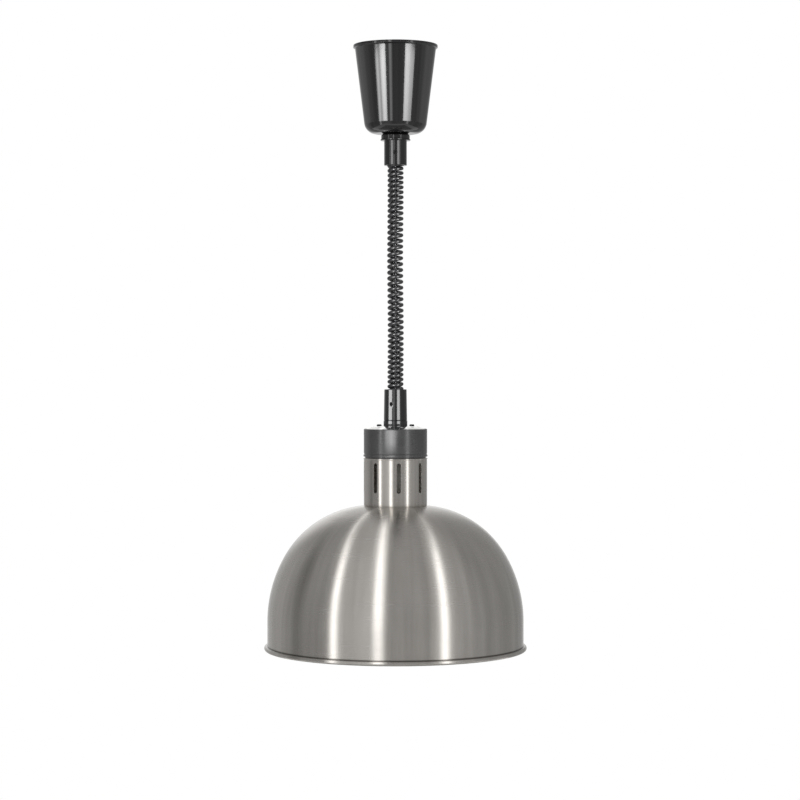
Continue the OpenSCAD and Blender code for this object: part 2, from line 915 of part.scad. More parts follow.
module lampholder() {
    r = holder_d / 2;
    color("ivory")
        difference() {
            rotate_extrude()
                polygon(concat(
                    [[0, z_holder]], arc([r - 2, z_holder - 2], 2, 90, 0, 4),
                    [[r, z_holder_mouth + 6], [r - 1.5, z_holder_mouth + 4.5], [r - 1.5, z_holder_mouth]],
                    [[cavity_r, z_holder_mouth], [cavity_r, z_cavity], [0, z_cavity]]
                ));
            for (side = [-1, 1])
                translate([side * post_x, 0, z_holder - 7])
                    cylinder(r = m3_head_d / 2 + 0.3, h = 8);
            for (side = [-1, 1])
                translate([side * lead_x, 0, z_holder - 4])
                    cylinder(r = core_d / 2 + 0.5, h = 5);
        }
}

module holder_screws() {
    color("silver")
        for (side = [-1, 1])
            translate([side * post_x, 0, z_holder])
                rotate([180, 0, 0])
                    pan_screw(m3_d, m3_head_d - 0.4, 2.4, holder_plate_t + 4);
}

// One ridge and one valley for each turn of a thread, as a plain ringed wall.
function ridges(r, depth, z_top, count, wall) = concat(
    [for (i = [0:2 * count]) [r - (i % 2 == 0 ? depth : 0), z_top - i * thread_pitch / 2]],
    [for (i = [2 * count:-1:0]) [r - (i % 2 == 0 ? depth : 0) - wall, z_top - i * thread_pitch / 2]]
);

module screw_shell() {
    color("goldenrod")
        rotate_extrude()
            polygon(ridges(shell_out_r, 0.4, z_cavity - 6, 6, 0.4));
}

module centre_contact() {
    color("goldenrod")
        translate([0, 0, z_contact])
            union() {
                cylinder(r = 3.2, h = contact_h);
                translate([-2.5, 0, contact_h - 0.8])
                    cube([5, shell_in_r - 2, 0.8]);
            }
}

lead_z = z_shank_end - 2;
lead_x = 4;

module lower_cord_tail() {
    color("black")
        translate([tail_x, 0, lead_z])
            cylinder(r = cord_d / 2, h = z_coil_bottom - lead_z);
}

module lamp_leads() {
    color("steelblue")
        for (side = [-1, 1])
            lead(
                [tail_x + side * 0.8, 0, lead_z], [side * lead_x, 0, z_holder - 2.5],
                -3, 6, core_d
            );
}

head_earth_at = [3, 22];

module earth_lead() {
    color("yellowgreen")
        lead(
            [tail_x, 1.3, lead_z], [head_earth_at[0], head_earth_at[1] - 6, z_bridge_under - 0.9],
            -3, -7, core_d
        );
}

module head_earth_tag() {
    color("gold")
        translate([head_earth_at[0], head_earth_at[1], z_bridge_under])
            union() {
                translate([-1.5, -7, -0.8])
                    cube([3, 7, 0.8]);
                translate([0, 0, -0.8])
                    cylinder(r = 3.4, h = 0.8);
                translate([0, 0, -0.8])
                    rotate([180, 0, 0])
                        pan_screw(m3_d, m3_head_d, m3_head_h, 0.7);
            }
}

module neck() {
    bead_r = 0.9;
    color("silver")
        difference() {
            rotate_extrude()
                polygon(concat(arc([neck_r - 0.5, z_neck - bead_r], bead_r, 90, -acos(0.5 / bead_r), 8), [
                    [neck_r, z_shade + 1.5], [neck_r - 0.4, z_shade],
                    [low_spigot_r, z_shade], [low_spigot_r, z_shade - low_spigot_h],
                    [low_spigot_r - neck_wall, z_shade - low_spigot_h],
                    [low_spigot_r - neck_wall, z_shade + neck_wall],
                    [neck_r - neck_wall, z_shade + 1.5 + neck_wall], [neck_r - neck_wall, z_neck - neck_wall],
                    [spigot_r - neck_wall, z_neck - neck_wall], [spigot_r - neck_wall, z_spigot - neck_wall],
                    [tie_flange_r, z_spigot - neck_wall], [tie_flange_r, z_spigot],
                    [spigot_r, z_spigot], [spigot_r, z_neck]
                ]));
            for (k = [0:vent_count - 1])
                facing(vent_turn + k * 360 / vent_count, z_neck - vent_drop - vent_l)
                    vent_cut();
            for (a = tie_angles)
                rotate([0, 0, a])
                    translate([tie_r, 0, z_spigot - neck_wall - 1])
                        cylinder(r = m3_d / 2 + hand_gap, h = neck_wall + 2);
        }
}

module vent_cut() {
    reach = 8;
    translate([neck_r - reach / 2, -vent_w / 2, vent_w / 2])
        cube([reach, vent_w, vent_l - vent_w]);
    for (z = [vent_w / 2, vent_l - vent_w / 2])
        translate([neck_r - reach / 2, 0, z])
            rotate([0, 90, 0])
                cylinder(r = vent_w / 2, h = reach, $fn = 32);
}

module shade() {
    upper_start = 90 - start_slope;
    upper_end = 90 - mid_slope;
    color("silver")
        rotate_extrude()
            polygon(concat(
                [[shade_hole_r, z_shade]],
                arc(upper_centre, upper_curve_r, upper_start, upper_end, 16),
                arc(lower_centre, lower_curve_r, upper_end, 0, 10),
                arc(rim_centre, rim_d / 2, rim_angle(skirt_r), rim_angle(skirt_r - shade_wall) - 360, 20),
                arc(lower_centre, lower_curve_r - shade_wall, 0, upper_end, 10),
                arc(upper_centre, upper_curve_r - shade_wall, upper_end, upper_start, 16),
                [[shade_hole_r, z_shade - shade_wall]]
            ));
}

// Angle around the rolled rim at which a wall of radius r runs into it from above.
function rim_angle(r) = acos((r - rim_centre[0]) / (rim_d / 2));

module shade_ring() {
    seat = z_shade - shade_wall - upper_curve_r * (
        cos(start_slope) - cos(asin(sin(start_slope) + (ring_r - neck_r) / upper_curve_r))
    ) - run_gap;
    color("gray")
        difference() {
            ring(ring_r, low_spigot_r + run_gap, seat, seat - ring_h);
            for (a = [45:90:315])
                rotate([0, 0, a])
                    translate([ring_r - 2, -2.5, seat - ring_h - 1])
                        cube([4, 5, 3]);
        }
}

// ---- Bulb ----

function glass_outline(t) = concat(
    [[glass_top_r - t, z_cap_end + glass_in_cap], [glass_top_r - t, z_cap_end]],
    curve(
        [glass_top_r - t, z_cap_end - 1], [glass_top_r - t, z_cap_end - 6],
        [glass_neck_r - t, z_cap_end - 5], [glass_neck_r - t, z_cap_end - 12], 5
    ),
    curve(
        [glass_neck_r - t, z_flare], [glass_neck_r - t, z_flare - 22],
        [bulb_r - t, z_wide + 38], [bulb_r - t, z_wide], 14
    ),
    [for (i = [1:10]) bezier(
        [bulb_r - t, z_wide], [bulb_r - t, z_wide - 17],
        [bulb_r * 0.6, z_face + t], [0, z_face + t], i / 10
    )]
);

module bulb_glass() {
    outer = glass_outline(0);
    inner = glass_outline(glass_t);
    color([0.8, 0.8, 0.8, 0.5])
        rotate_extrude()
            polygon(concat(outer, [for (i = [len(inner) - 1:-1:0]) inner[i]]));
}

module bulb_cap() {
    r = cap_d / 2;
    z_thread = z_cap_end + 4;
    count = 4;
    z_top = z_thread + count * thread_pitch;
    color("silver")
        rotate_extrude()
            polygon(concat(
                [[r - 0.7, z_top + 2.5], [r - 0.7 - cap_wall, z_top + 2.5]],
                [for (i = [0:2 * count]) [
                    r - (i % 2 == 0 ? 0.7 : 0) - cap_wall, z_top - i * thread_pitch / 2
                ]],
                [[r - 0.7 - cap_wall, z_cap_end], [r - 0.7, z_cap_end]],
                [for (i = [2 * count:-1:0]) [r - (i % 2 == 0 ? 0.7 : 0), z_top - i * thread_pitch / 2]]
            ));
}

module cap_insulator() {
    z_top = z_bulb - 1.2;
    z_cap_top = z_cap_end + 4 + 4 * thread_pitch + 2.5;
    r = cap_d / 2 - 0.7 - cap_wall - run_gap;
    color([0.1, 0.1, 0.12])
        rotate_extrude()
            polygon([
                [0, z_top], [5, z_top], [r, z_cap_top], [r, z_cap_top - 2],
                [3, z_cap_top - 2], [0, z_cap_top - 2]
            ]);
}

module cap_contact() {
    color("silver")
        translate([0, 0, z_bulb - 1.2])
            cylinder(r = 4.6, h = 1.2);
}

stem_l = 46;
z_stem = z_cap_end + 4 + 4 * thread_pitch + 0.5;

module glass_stem() {
    color([0.8, 0.85, 0.85, 0.6])
        translate([0, 0, z_stem - stem_l])
            cylinder(r1 = 3, r2 = glass_top_r - glass_t - 0.5, h = stem_l);
}

support_x = 16;
z_filament = z_stem - stem_l - 52;

module filament_supports() {
    color("gray")
        for (side = [-1, 1])
            cable(
                curve(
                    [side * 1.4, 0, z_stem - stem_l], [side * 1.4, 0, z_stem - stem_l - 12],
                    [side * support_x, 0, z_filament + 16], [side * support_x, 0, z_filament], 8
                ),
                [0, 1, 0], 1, 8
            );
}

module filament() {
    filament_d = 2.2;
    color("dimgray")
        cable(
            curve(
                [-support_x - 1, 0, z_filament - filament_d / 2], [-support_x / 2, 0, z_filament - 5],
                [support_x / 2, 0, z_filament - 5], [support_x + 1, 0, z_filament - filament_d / 2], 10
            ),
            [0, 1, 0], filament_d, 8
        );
}

mounting_plate();
reel_frame();
frame_rivets();
reel_axle();
axle_nut();
axle_spacers();
upper_cord_bush();
bush_nut();
terminal_block();
terminal_screws();
block_screw();
earth_tag();
earth_screw();
upper_cord_tail();
supply_cores();
reel_drum();
wire_winding();
power_spring();
barrel_cover();
canopy();
upper_ferrule();
canopy_nut();
canopy_grub_screw();
curly_cord();
lift_wire();
lower_ferrule();
lower_cord_bush();
wire_anchor();
head_grub_screw();
top_cover();
cover_screws();
spacer_sleeve();
collar();
bridge_plate();
lock_nut();
tie_screws();
tie_nuts();
holder_posts();
holder_plate();
lampholder();
holder_screws();
screw_shell();
centre_contact();
lower_cord_tail();
lamp_leads();
earth_lead();
head_earth_tag();
neck();
shade();
shade_ring();
bulb_glass();
bulb_cap();
cap_insulator();
cap_contact();
glass_stem();
filament_supports();
filament();
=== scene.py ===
# %% [markdown]
# # A rise-and-fall heat lamp
# The lamp hangs from the ceiling on a thin steel wire, which a spring reel in the black cup winds up.
# A curly cord around the wire brings the current down to a steel dome with an infrared bulb.
# The construction model gives every piece its size and place. This script gives nearly all of them a
# finer mesh, and each its finish.

# %% Load the construction model
import json
from math import acos, cos, degrees, exp, pi, radians, sin, sqrt, tan

import bpy
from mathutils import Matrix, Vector

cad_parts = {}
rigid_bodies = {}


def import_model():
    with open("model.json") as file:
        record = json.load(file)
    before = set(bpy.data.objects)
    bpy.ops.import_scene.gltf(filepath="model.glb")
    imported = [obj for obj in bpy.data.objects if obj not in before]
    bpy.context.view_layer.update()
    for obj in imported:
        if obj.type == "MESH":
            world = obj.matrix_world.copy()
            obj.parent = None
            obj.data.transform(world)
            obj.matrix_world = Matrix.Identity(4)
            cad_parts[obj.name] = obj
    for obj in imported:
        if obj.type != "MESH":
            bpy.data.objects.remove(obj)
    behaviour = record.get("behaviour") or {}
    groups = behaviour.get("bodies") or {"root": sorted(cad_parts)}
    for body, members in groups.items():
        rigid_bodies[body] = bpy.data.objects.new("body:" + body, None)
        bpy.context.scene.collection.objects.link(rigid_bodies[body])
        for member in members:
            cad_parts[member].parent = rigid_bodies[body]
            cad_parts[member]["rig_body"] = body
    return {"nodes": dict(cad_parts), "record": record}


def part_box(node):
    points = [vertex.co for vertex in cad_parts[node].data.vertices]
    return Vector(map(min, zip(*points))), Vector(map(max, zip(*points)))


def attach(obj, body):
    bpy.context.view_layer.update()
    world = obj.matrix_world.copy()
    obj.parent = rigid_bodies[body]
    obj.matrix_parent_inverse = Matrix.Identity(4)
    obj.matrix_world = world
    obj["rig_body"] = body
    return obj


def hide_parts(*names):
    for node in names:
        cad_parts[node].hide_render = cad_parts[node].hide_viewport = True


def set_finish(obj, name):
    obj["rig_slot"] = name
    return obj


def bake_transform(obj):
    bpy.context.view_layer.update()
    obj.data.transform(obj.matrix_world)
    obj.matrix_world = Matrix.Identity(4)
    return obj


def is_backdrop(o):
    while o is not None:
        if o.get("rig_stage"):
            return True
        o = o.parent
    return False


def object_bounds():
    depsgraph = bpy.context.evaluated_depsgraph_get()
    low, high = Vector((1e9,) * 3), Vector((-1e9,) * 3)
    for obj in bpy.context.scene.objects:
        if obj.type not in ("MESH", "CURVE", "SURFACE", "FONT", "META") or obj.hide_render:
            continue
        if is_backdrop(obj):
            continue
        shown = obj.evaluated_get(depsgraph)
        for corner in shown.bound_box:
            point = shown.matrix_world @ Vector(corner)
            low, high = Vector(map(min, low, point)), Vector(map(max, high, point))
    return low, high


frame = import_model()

cad_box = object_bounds()

# %% [markdown]
# ## Camera
# A pendant lamp is seen from a few steps away, so a long lens keeps its cylinders upright and its
# ellipses flat. The camera stands a little above the middle of the lamp and looks straight across.

# %% Add the camera


def added(add, **settings):
    """Adds an object with an operator, with nothing else selected."""
    bpy.ops.object.select_all(action="DESELECT")
    add(**settings)
    return bpy.context.object


camera_at = Vector((0.005, -2.54, -0.349))
camera_aim = Vector((0.005, 0.0, -0.391))

camera = added(bpy.ops.object.camera_add, location=camera_at)
camera.rotation_euler = (camera_aim - camera_at).to_track_quat("-Z", "Y").to_euler()
camera.data.lens = 103.5
camera.data.sensor_width = 36
bpy.context.scene.camera = camera
print("camera", round((camera_aim - camera_at).length, 2), "m from the lamp's axis")

# %% [markdown]
# ## Edges and finer copies
# No real edge is quite sharp: sheet is deburred, turned parts are filed, and a mould has small radii.
# A bevel of a few tenths of a millimetre lets each edge catch a thin line of light.
# A small part whose shape is right already is copied from the construction model and gets the same
# bevel. A copy is loose triangles at first, so it is merged, and flat runs of them become faces.

# %% Work on one piece at a time


def take(piece):
    """Selects one piece alone and makes it the active one."""
    bpy.ops.object.select_all(action="DESELECT")
    piece.select_set(True)
    bpy.context.view_layer.objects.active = piece


def finish_edges(piece, width, angle=30):
    """Rounds the sharp edges of a piece and smooths the rest."""
    take(piece)
    if width:
        bpy.ops.object.modifier_add(type="BEVEL")
        bevel = piece.modifiers[-1]
        bevel.width = width
        bevel.segments = 2
        bevel.limit_method = "ANGLE"
        bevel.angle_limit = radians(angle)
        bpy.ops.object.modifier_apply(modifier=bevel.name)
    bpy.ops.object.shade_smooth_by_angle(angle=radians(angle))


def fit(piece, body, slot, *nodes):
    """Rides a finished piece on its body, in the place of the nodes that it stands for."""
    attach(piece, body)
    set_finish(piece, slot)
    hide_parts(*nodes)
    print(piece.name, "-", len(piece.data.polygons), "faces")


# %% Copy a construction piece with rounded edges
slot_of = {row["node"]: row["material_slot"] for row in frame["record"]["subparts"]}


def finer(node_name, width, slot=None, angle=30):
    """Makes a copy of a construction piece with rounded edges, in its place."""
    source = frame["nodes"][node_name]
    piece = bpy.data.objects.new(node_name + "_part", source.data.copy())
    bpy.context.scene.collection.objects.link(piece)
    take(piece)
    bpy.ops.object.mode_set(mode="EDIT")
    bpy.ops.mesh.select_all(action="SELECT")
    bpy.ops.mesh.remove_doubles(threshold=1e-6)
    bpy.ops.mesh.dissolve_limited(angle_limit=radians(0.5))
    bpy.ops.object.mode_set(mode="OBJECT")
    finish_edges(piece, width, angle)
    fit(piece, source["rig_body"], slot or slot_of[node_name], node_name)


# %% [markdown]
# ## The curly cord
# A curly cord is one long cable wound hot around a bar, so it springs back into its turns. Hung up,
# its own weight opens the turns in the middle, while the sleeves hold the end turns close.
# A loop works out the path: the height falls slowly where the turns are close, and the turns lean a
# little where the cord was last tugged. At each end a short bend leads into the upright stretch that
# the bush grips.

# %% Draw runs of points


def bend(a, b, c, d, steps):
    """Points on a Bezier curve from a to d, which leaves towards b and arrives from c."""
    points = []
    for i in range(steps + 1):
        t = i / steps
        weights = ((1 - t) ** 3, 3 * (1 - t) ** 2 * t, 3 * (1 - t) * t * t, t ** 3)
        points.append(tuple(sum(w * v for w, v in zip(weights, values)) for values in zip(a, b, c, d)))
    return points


def line(start, end, steps=10):
    """Evenly spaced points on a straight line."""
    return [tuple(a + (b - a) * i / steps for a, b in zip(start, end)) for i in range(steps + 1)]


# %% Work out the cord's path
cord_low, cord_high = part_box("curly_cord")
tail_low, tail_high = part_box("lower_cord_tail")
cord_d = tail_high.x - tail_low.x
tail_x = (tail_low.x + tail_high.x) / 2
coil_r = (cord_high.x - cord_low.x - cord_d) / 2
coil_turns = 43
points_a_turn = 20
middle_opening = 0.15
lead_in_turn = 0.2
lead_in_points = 8
lead_in_drop = 0.0046
lead_in_pull = 0.0035
lean_rise = 0.0011
lean_share = 0.16
lean_width = 0.09
sway_share = 0.2
sway_waves = 21
wander_size = 0.0004
wander_waves = 9
wander_depth = 0.6


def opened(u):
    """Share of the coil's height at a share u of its turns."""
    low, high = 0.0, 1.0
    for _ in range(40):
        mid = (low + high) / 2
        turns = (mid - middle_opening * mid * mid * (3 - 2 * mid)) / (1 - middle_opening)
        low, high = (mid, high) if turns < u else (low, mid)
    return (low + high) / 2


def coil_point(turn):
    """A point of the coil's centreline, after a number of turns from the top."""
    u = turn / coil_turns
    top = cord_high.z - lead_in_drop
    low = cord_low.z + lead_in_drop
    held = sin(pi * u)
    pull = exp(-((u - lean_share) / lean_width) ** 2) + sway_share * sin(sway_waves * u)
    lean = lean_rise * pull * held
    wander = wander_size * sin(wander_waves * u + 1) * held
    x = coil_r * cos(2 * pi * turn)
    y = -coil_r * sin(2 * pi * turn)
    z = top + (low - top) * opened(u) + lean * x / coil_r
    return Vector((x + wander, y + wander_depth * wander, z))


def lead_in(tip, along, landing, arriving):
    """Points of a smooth bend from an upright tip to the coil, without the last one."""
    leaving, reaching = tip + lead_in_pull * along, landing - lead_in_pull * arriving
    return [Vector(point) for point in bend(tip, leaving, reaching, landing, lead_in_points)[:-1]]


first = round(lead_in_turn * points_a_turn)
last = round((coil_turns - lead_in_turn) * points_a_turn)
coil = [coil_point(i / points_a_turn) for i in range(first, last + 1)]
top_tip = Vector((tail_x, 0, cord_high.z))
low_tip = Vector((tail_x, 0, cord_low.z))
down = Vector((0, 0, -1))
cord_path = lead_in(top_tip, down, coil[0], (coil[1] - coil[0]).normalized()) + coil
cord_path += lead_in(low_tip, -down, coil[-1], (coil[-2] - coil[-1]).normalized())[::-1]

# %% [markdown]
# A cable is drawn as a curve with a round section, and is made a mesh at once.

# %% Draw a cable along a path


def cable(name, path, thickness, sides=3):
    """A round cable along a path, as a mesh."""
    curve = bpy.data.curves.new(name, "CURVE")
    curve.dimensions = "3D"
    curve.bevel_depth = thickness / 2
    curve.bevel_resolution = sides
    curve.use_fill_caps = True
    spline = curve.splines.new("POLY")
    spline.points.add(len(path) - 1)
    for point, place in zip(spline.points, path):
        point.co = (*place, 1)
    piece = bpy.data.objects.new(name, curve)
    bpy.context.scene.collection.objects.link(piece)
    take(piece)
    bpy.ops.object.convert(target="MESH")
    bpy.ops.object.shade_smooth()
    return bpy.context.object


# %% Make the curly cord and the lift wire
curly_cord = cable("curly_cord_coil", cord_path, cord_d)
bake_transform(curly_cord)
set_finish(curly_cord, "black_cord")
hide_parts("curly_cord")

wire_low, wire_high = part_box("lift_wire")
wire_path = line((0, 0, wire_high.z), (0, 0, wire_low.z), 120)
lift_wire = cable("lift_wire_strand", wire_path, wire_high.x - wire_low.x, sides=2)
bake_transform(lift_wire)
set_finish(lift_wire, "steel_wire")
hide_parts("lift_wire")
print("cord mesh:", len(curly_cord.data.polygons), "faces")

# %% [markdown]
# ## Turned and spun pieces
# The cup, the sleeves, the collar, the neck and the dome are all turned or spun on a lathe, and are
# made here in the same way. A small plane is merged into one corner, which is drawn along the outline
# in the XZ plane, and the outline is spun once around the Z axis.
# An outline is a closed run of (distance from the axis, height) points, with its arcs worked out.

# %% Draw arcs for outlines


def arc(centre, radius, start, end, steps):
    """Points on a circle between two angles in degrees, as (distance from the axis, height)."""
    angles = [radians(start + (end - start) * i / steps) for i in range(steps + 1)]
    return [(centre[0] + radius * cos(a), centre[1] + radius * sin(a)) for a in angles]


# %% Spin an outline around the lamp's axis


def turned(name, outline, steps):
    """A solid of revolution about the Z axis from a closed outline."""
    piece = added(bpy.ops.mesh.primitive_plane_add, size=0.001)
    piece.name = name
    bpy.ops.object.mode_set(mode="EDIT")
    bpy.ops.mesh.select_all(action="SELECT")
    bpy.ops.mesh.merge(type="CENTER")
    bpy.ops.transform.translate(value=(outline[0][0], 0, outline[0][1]))
    for here, there in zip(outline, outline[1:] + outline[:1]):
        step = (there[0] - here[0], 0, there[1] - here[1])
        bpy.ops.mesh.extrude_vertices_move(TRANSFORM_OT_translate={"value": step})
    bpy.ops.mesh.select_all(action="SELECT")
    bpy.ops.mesh.remove_doubles(threshold=1e-6)
    bpy.ops.mesh.spin(steps=steps, angle=2 * pi, center=(0, 0, 0), axis=(0, 0, 1))
    bpy.ops.mesh.select_all(action="SELECT")
    bpy.ops.mesh.remove_doubles(threshold=1e-6)
    bpy.ops.mesh.normals_make_consistent(inside=False)
    bpy.ops.object.mode_set(mode="OBJECT")
    return piece


# %% [markdown]
# ## The canopy
# The canopy is a cup spun from steel sheet and enamelled black. It narrows downwards, has a round
# corner where the wall meets the floor, and a rolled lip that lies against the ceiling.

# %% Turn the canopy
canopy_low, canopy_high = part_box("canopy")
canopy_wall = 0.0012
canopy_lip = 0.0014
canopy_lip_h = 0.0034
canopy_lip_round = 0.0008
lip_crease = 0.0006
lip_inset = 0.0003
canopy_taper = radians(7.1)
canopy_corner = 0.013
canopy_r = canopy_high.x - canopy_lip
canopy_hole_r = 0.0121
z_floor = canopy_low.z

corner_z = z_floor + canopy_corner
wall_drop = -z_floor - canopy_corner * (1 - sin(canopy_taper))
corner_x = canopy_r - tan(canopy_taper) * wall_drop - canopy_corner * cos(canopy_taper)
taper_deg = degrees(canopy_taper)
under_lip = canopy_lip_h + lip_crease
lip_x = canopy_r + canopy_lip - canopy_lip_round
outline = [(canopy_r - lip_inset, 0), (lip_x - lip_crease, 0)]
outline += arc((lip_x, -canopy_lip_round), canopy_lip_round, 90, 0, 5)
outline += arc((lip_x, canopy_lip_round - canopy_lip_h), canopy_lip_round, 0, -90, 5)
outline += [(canopy_r - tan(canopy_taper) * under_lip, -under_lip)]
outline += arc((corner_x, corner_z), canopy_corner, -taper_deg, -90, 20)
outline += [(canopy_hole_r, z_floor), (canopy_hole_r, z_floor + canopy_wall)]
outline += arc((corner_x, corner_z), canopy_corner - canopy_wall, -90, -taper_deg, 16)
outline += [(canopy_r - canopy_wall / cos(canopy_taper), 0)]
canopy = turned("canopy_shell", outline, 160)
finish_edges(canopy, 0)
fit(canopy, "canopy_cup", "gloss_black", "canopy")

# %% [markdown]
# ## The sleeves
# Two turned sleeves hold the cord. The upper one has a flange under the canopy and a thread through
# its floor. The lower one stands on a base ring on the lamp head. Each has a small screw with a
# hexagon socket in a threaded hole at its side. The hole is cut with a boolean, in a wall that is
# drawn in several rows, so that only the faces next to the hole are cut up. The edges are then
# broken by a bevel, as on the real turned part.

# %% Cut shapes out of a piece


def cut_away(piece, cutter):
    """Takes the cutter's shape out of a piece and deletes the cutter."""
    take(piece)
    bpy.ops.object.modifier_add(type="BOOLEAN")
    cut = piece.modifiers[-1]
    cut.object = cutter
    cut.solver = "EXACT"
    bpy.ops.object.modifier_apply(modifier=cut.name)
    bpy.data.objects.remove(cutter)


def drill_bit(radius, start, end, steps=32):
    """A cylinder along the line from start to end, with its place in its mesh."""
    start, end = Vector(start), Vector(end)
    bit = added(
        bpy.ops.mesh.primitive_cylinder_add, vertices=steps, radius=radius,
        depth=(end - start).length, location=(start + end) / 2,
        rotation=(end - start).to_track_quat("Z", "Y").to_euler(),
    )
    bpy.ops.object.transform_apply(location=True, rotation=True, scale=True)
    return bit


def side_hole(piece, screw_node):
    """Drills a sleeve's side where a grub screw sits, from the axis outwards."""
    low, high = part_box(screw_node)
    screw = (low + high) / 2
    outwards = Vector((screw.x, screw.y, 0)).normalized() * 0.02
    level = Vector((0, 0, screw.z))
    cut_away(piece, drill_bit(grub_hole_r, level, level + outwards))


# %% Turn the upper sleeve
upper_low, upper_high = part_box("upper_ferrule")
grub_hole_r = 0.00205
sleeve_bore_r = 0.0096
sleeve_edge = 0.0004
upper_r = 0.0125
upper_shank_r = 0.012
flange_r = upper_high.x
flange_low = z_floor - 0.0075
flange_lip = 0.0012
flange_step = 0.0007
flange_drop = 0.0022
flange_slope = 0.0026

outline = [
    (sleeve_bore_r, upper_low.z), (upper_r - sleeve_edge, upper_low.z),
    *line((upper_r, upper_low.z + sleeve_edge), (upper_r, flange_low)),
    (flange_r, flange_low), (flange_r, flange_low + flange_lip),
    (flange_r - flange_step, flange_low + flange_lip + sleeve_edge),
    (flange_r - flange_step, z_floor - flange_drop), (flange_r - flange_slope, z_floor),
    (upper_shank_r, z_floor), (upper_shank_r, upper_high.z), (sleeve_bore_r, upper_high.z),
]
upper_sleeve = turned("upper_sleeve", outline, 96)
side_hole(upper_sleeve, "canopy_grub_screw")
finish_edges(upper_sleeve, 0.00018)
fit(upper_sleeve, "canopy_cup", "gloss_black", "upper_ferrule")

# %% Turn the lower sleeve
lower_low, lower_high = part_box("lower_ferrule")
crown_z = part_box("top_cover")[1].z
lower_top_r = 0.01235
lower_foot_r = lower_top_r + 0.0005
ring_r = lower_high.x
ring_z = crown_z + 0.0055
ring_edge = 0.0003
undercut = 0.0005
undercut_h = 0.0006
lower_shank_r = 0.01
shank_bore_r = 0.0086
bush_seat_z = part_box("lower_cord_bush")[0].z

outline = [
    (sleeve_bore_r, lower_high.z), (lower_top_r - sleeve_edge, lower_high.z),
    *line((lower_top_r, lower_high.z - sleeve_edge), (lower_foot_r, ring_z + undercut_h)),
    (lower_foot_r - undercut, ring_z), (ring_r - ring_edge, ring_z), (ring_r, ring_z - ring_edge),
    (ring_r, crown_z), (lower_shank_r, crown_z), (lower_shank_r, lower_low.z),
    (shank_bore_r, lower_low.z), (shank_bore_r, bush_seat_z), (sleeve_bore_r, bush_seat_z),
]
lower_sleeve = turned("lower_sleeve", outline, 96)
side_hole(lower_sleeve, "head_grub_screw")
finish_edges(lower_sleeve, 0.00015)
fit(lower_sleeve, "lamp_head", "gloss_black", "lower_ferrule")

# %% [markdown]
# ## The top cover
# The top cover is a shallow dome pressed from thin polished steel. Warm air leaves through a ring of
# round holes, and two screws hold it down. It is spun from its outline and then drilled with rings of
# cutters: the vents, the seats of the screw heads, and the screw holes.

# %% Copy a cutter round the axis


def ring_of(piece, count):
    """Repeats a piece's mesh so many times around the lamp's axis."""
    take(piece)
    bpy.ops.object.mode_set(mode="EDIT")
    bpy.ops.mesh.select_all(action="SELECT")
    bpy.ops.mesh.spin(
        steps=count - 1, dupli=True, angle=2 * pi * (count - 1) / count,
        center=(0, 0, 0), axis=(0, 0, 1),
    )
    bpy.ops.object.mode_set(mode="OBJECT")
    return piece


# %% Turn the top cover and drill its vents
cover_low, cover_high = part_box("top_cover")
cover_t = 0.0009
cover_r = cover_high.x
cover_rim_w = 0.0015
cover_hole_r = 0.0101
crown_r = ring_r + 0.001
cover_sag = 0.0039
dome_r = ((cover_r - crown_r) ** 2 + cover_sag ** 2) / (2 * cover_sag)
cover_vents = 12
cover_vent_r = 0.0016
cover_vent_at = 0.02625
screw_head_r = 0.0027
screw_seat_r = 0.003
screw_hole_r = 0.0016
drill_reach = 0.01
cover_rows = 14
screw_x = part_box("cover_screws")[1].x - screw_head_r


def cover_z(r):
    """Height of the cover's upper face at a distance from the axis."""
    return crown_z - (dome_r - sqrt(dome_r ** 2 - max(r - crown_r, 0) ** 2))


slope_w = cover_r - cover_rim_w - crown_r
radii = [cover_hole_r] + [crown_r + slope_w * i / cover_rows for i in range(cover_rows + 1)]
upper = [(r, cover_z(r)) for r in radii]
outline = upper + [(cover_r, cover_low.z + cover_t), (cover_r, cover_low.z)]
outline += [(cover_r - cover_rim_w, cover_low.z)] + [(r, z - cover_t) for r, z in upper[::-1]]
top_cover = turned("top_cover_dome", outline, 144)

vent_turn = pi / cover_vents
x, y = cover_vent_at * cos(vent_turn), cover_vent_at * sin(vent_turn)
below, above = cover_low.z - drill_reach, cover_high.z + drill_reach
vent_bit = drill_bit(cover_vent_r, (x, y, below), (x, y, above), 24)
cut_away(top_cover, ring_of(vent_bit, cover_vents))
seat_z = cover_z(screw_x + screw_head_r)
seat_bit = drill_bit(screw_seat_r, (screw_x, 0, seat_z), (screw_x, 0, above))
cut_away(top_cover, ring_of(seat_bit, 2))
screw_bit = drill_bit(screw_hole_r, (screw_x, 0, below), (screw_x, 0, above), 24)
cut_away(top_cover, ring_of(screw_bit, 2))
finish_edges(top_cover, 0.00012)
fit(top_cover, "lamp_head", "polished_steel", "top_cover")

# %% [markdown]
# ## The collar
# The collar is a turned ring of satin black. It has a rounded top edge, a thin groove near its foot
# and a slightly wider lip under that. Inside, a ledge carries the bridge plate.

# %% Turn the collar
collar_low, collar_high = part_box("collar")
collar_lip = 0.0004
collar_lip_h = 0.0026
collar_lip_edge = 0.0003
collar_r = collar_high.x - collar_lip
collar_in_r = collar_r - 0.0032
collar_edge = 0.001
rebate_r = cover_r + 0.0001
rebate_z = collar_high.z - 0.0013
groove_z = collar_low.z + 0.004
groove_h = 0.0006
groove_slope = 0.0004
groove_r = collar_r - 0.0005
seam_z = collar_low.z + 0.0014
seam_r = collar_r - 0.0014
ledge_r = collar_in_r - 0.0019
ledge_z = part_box("bridge_plate")[0].z
ledge_low = ledge_z - 0.0024
ledge_slope = 0.0006

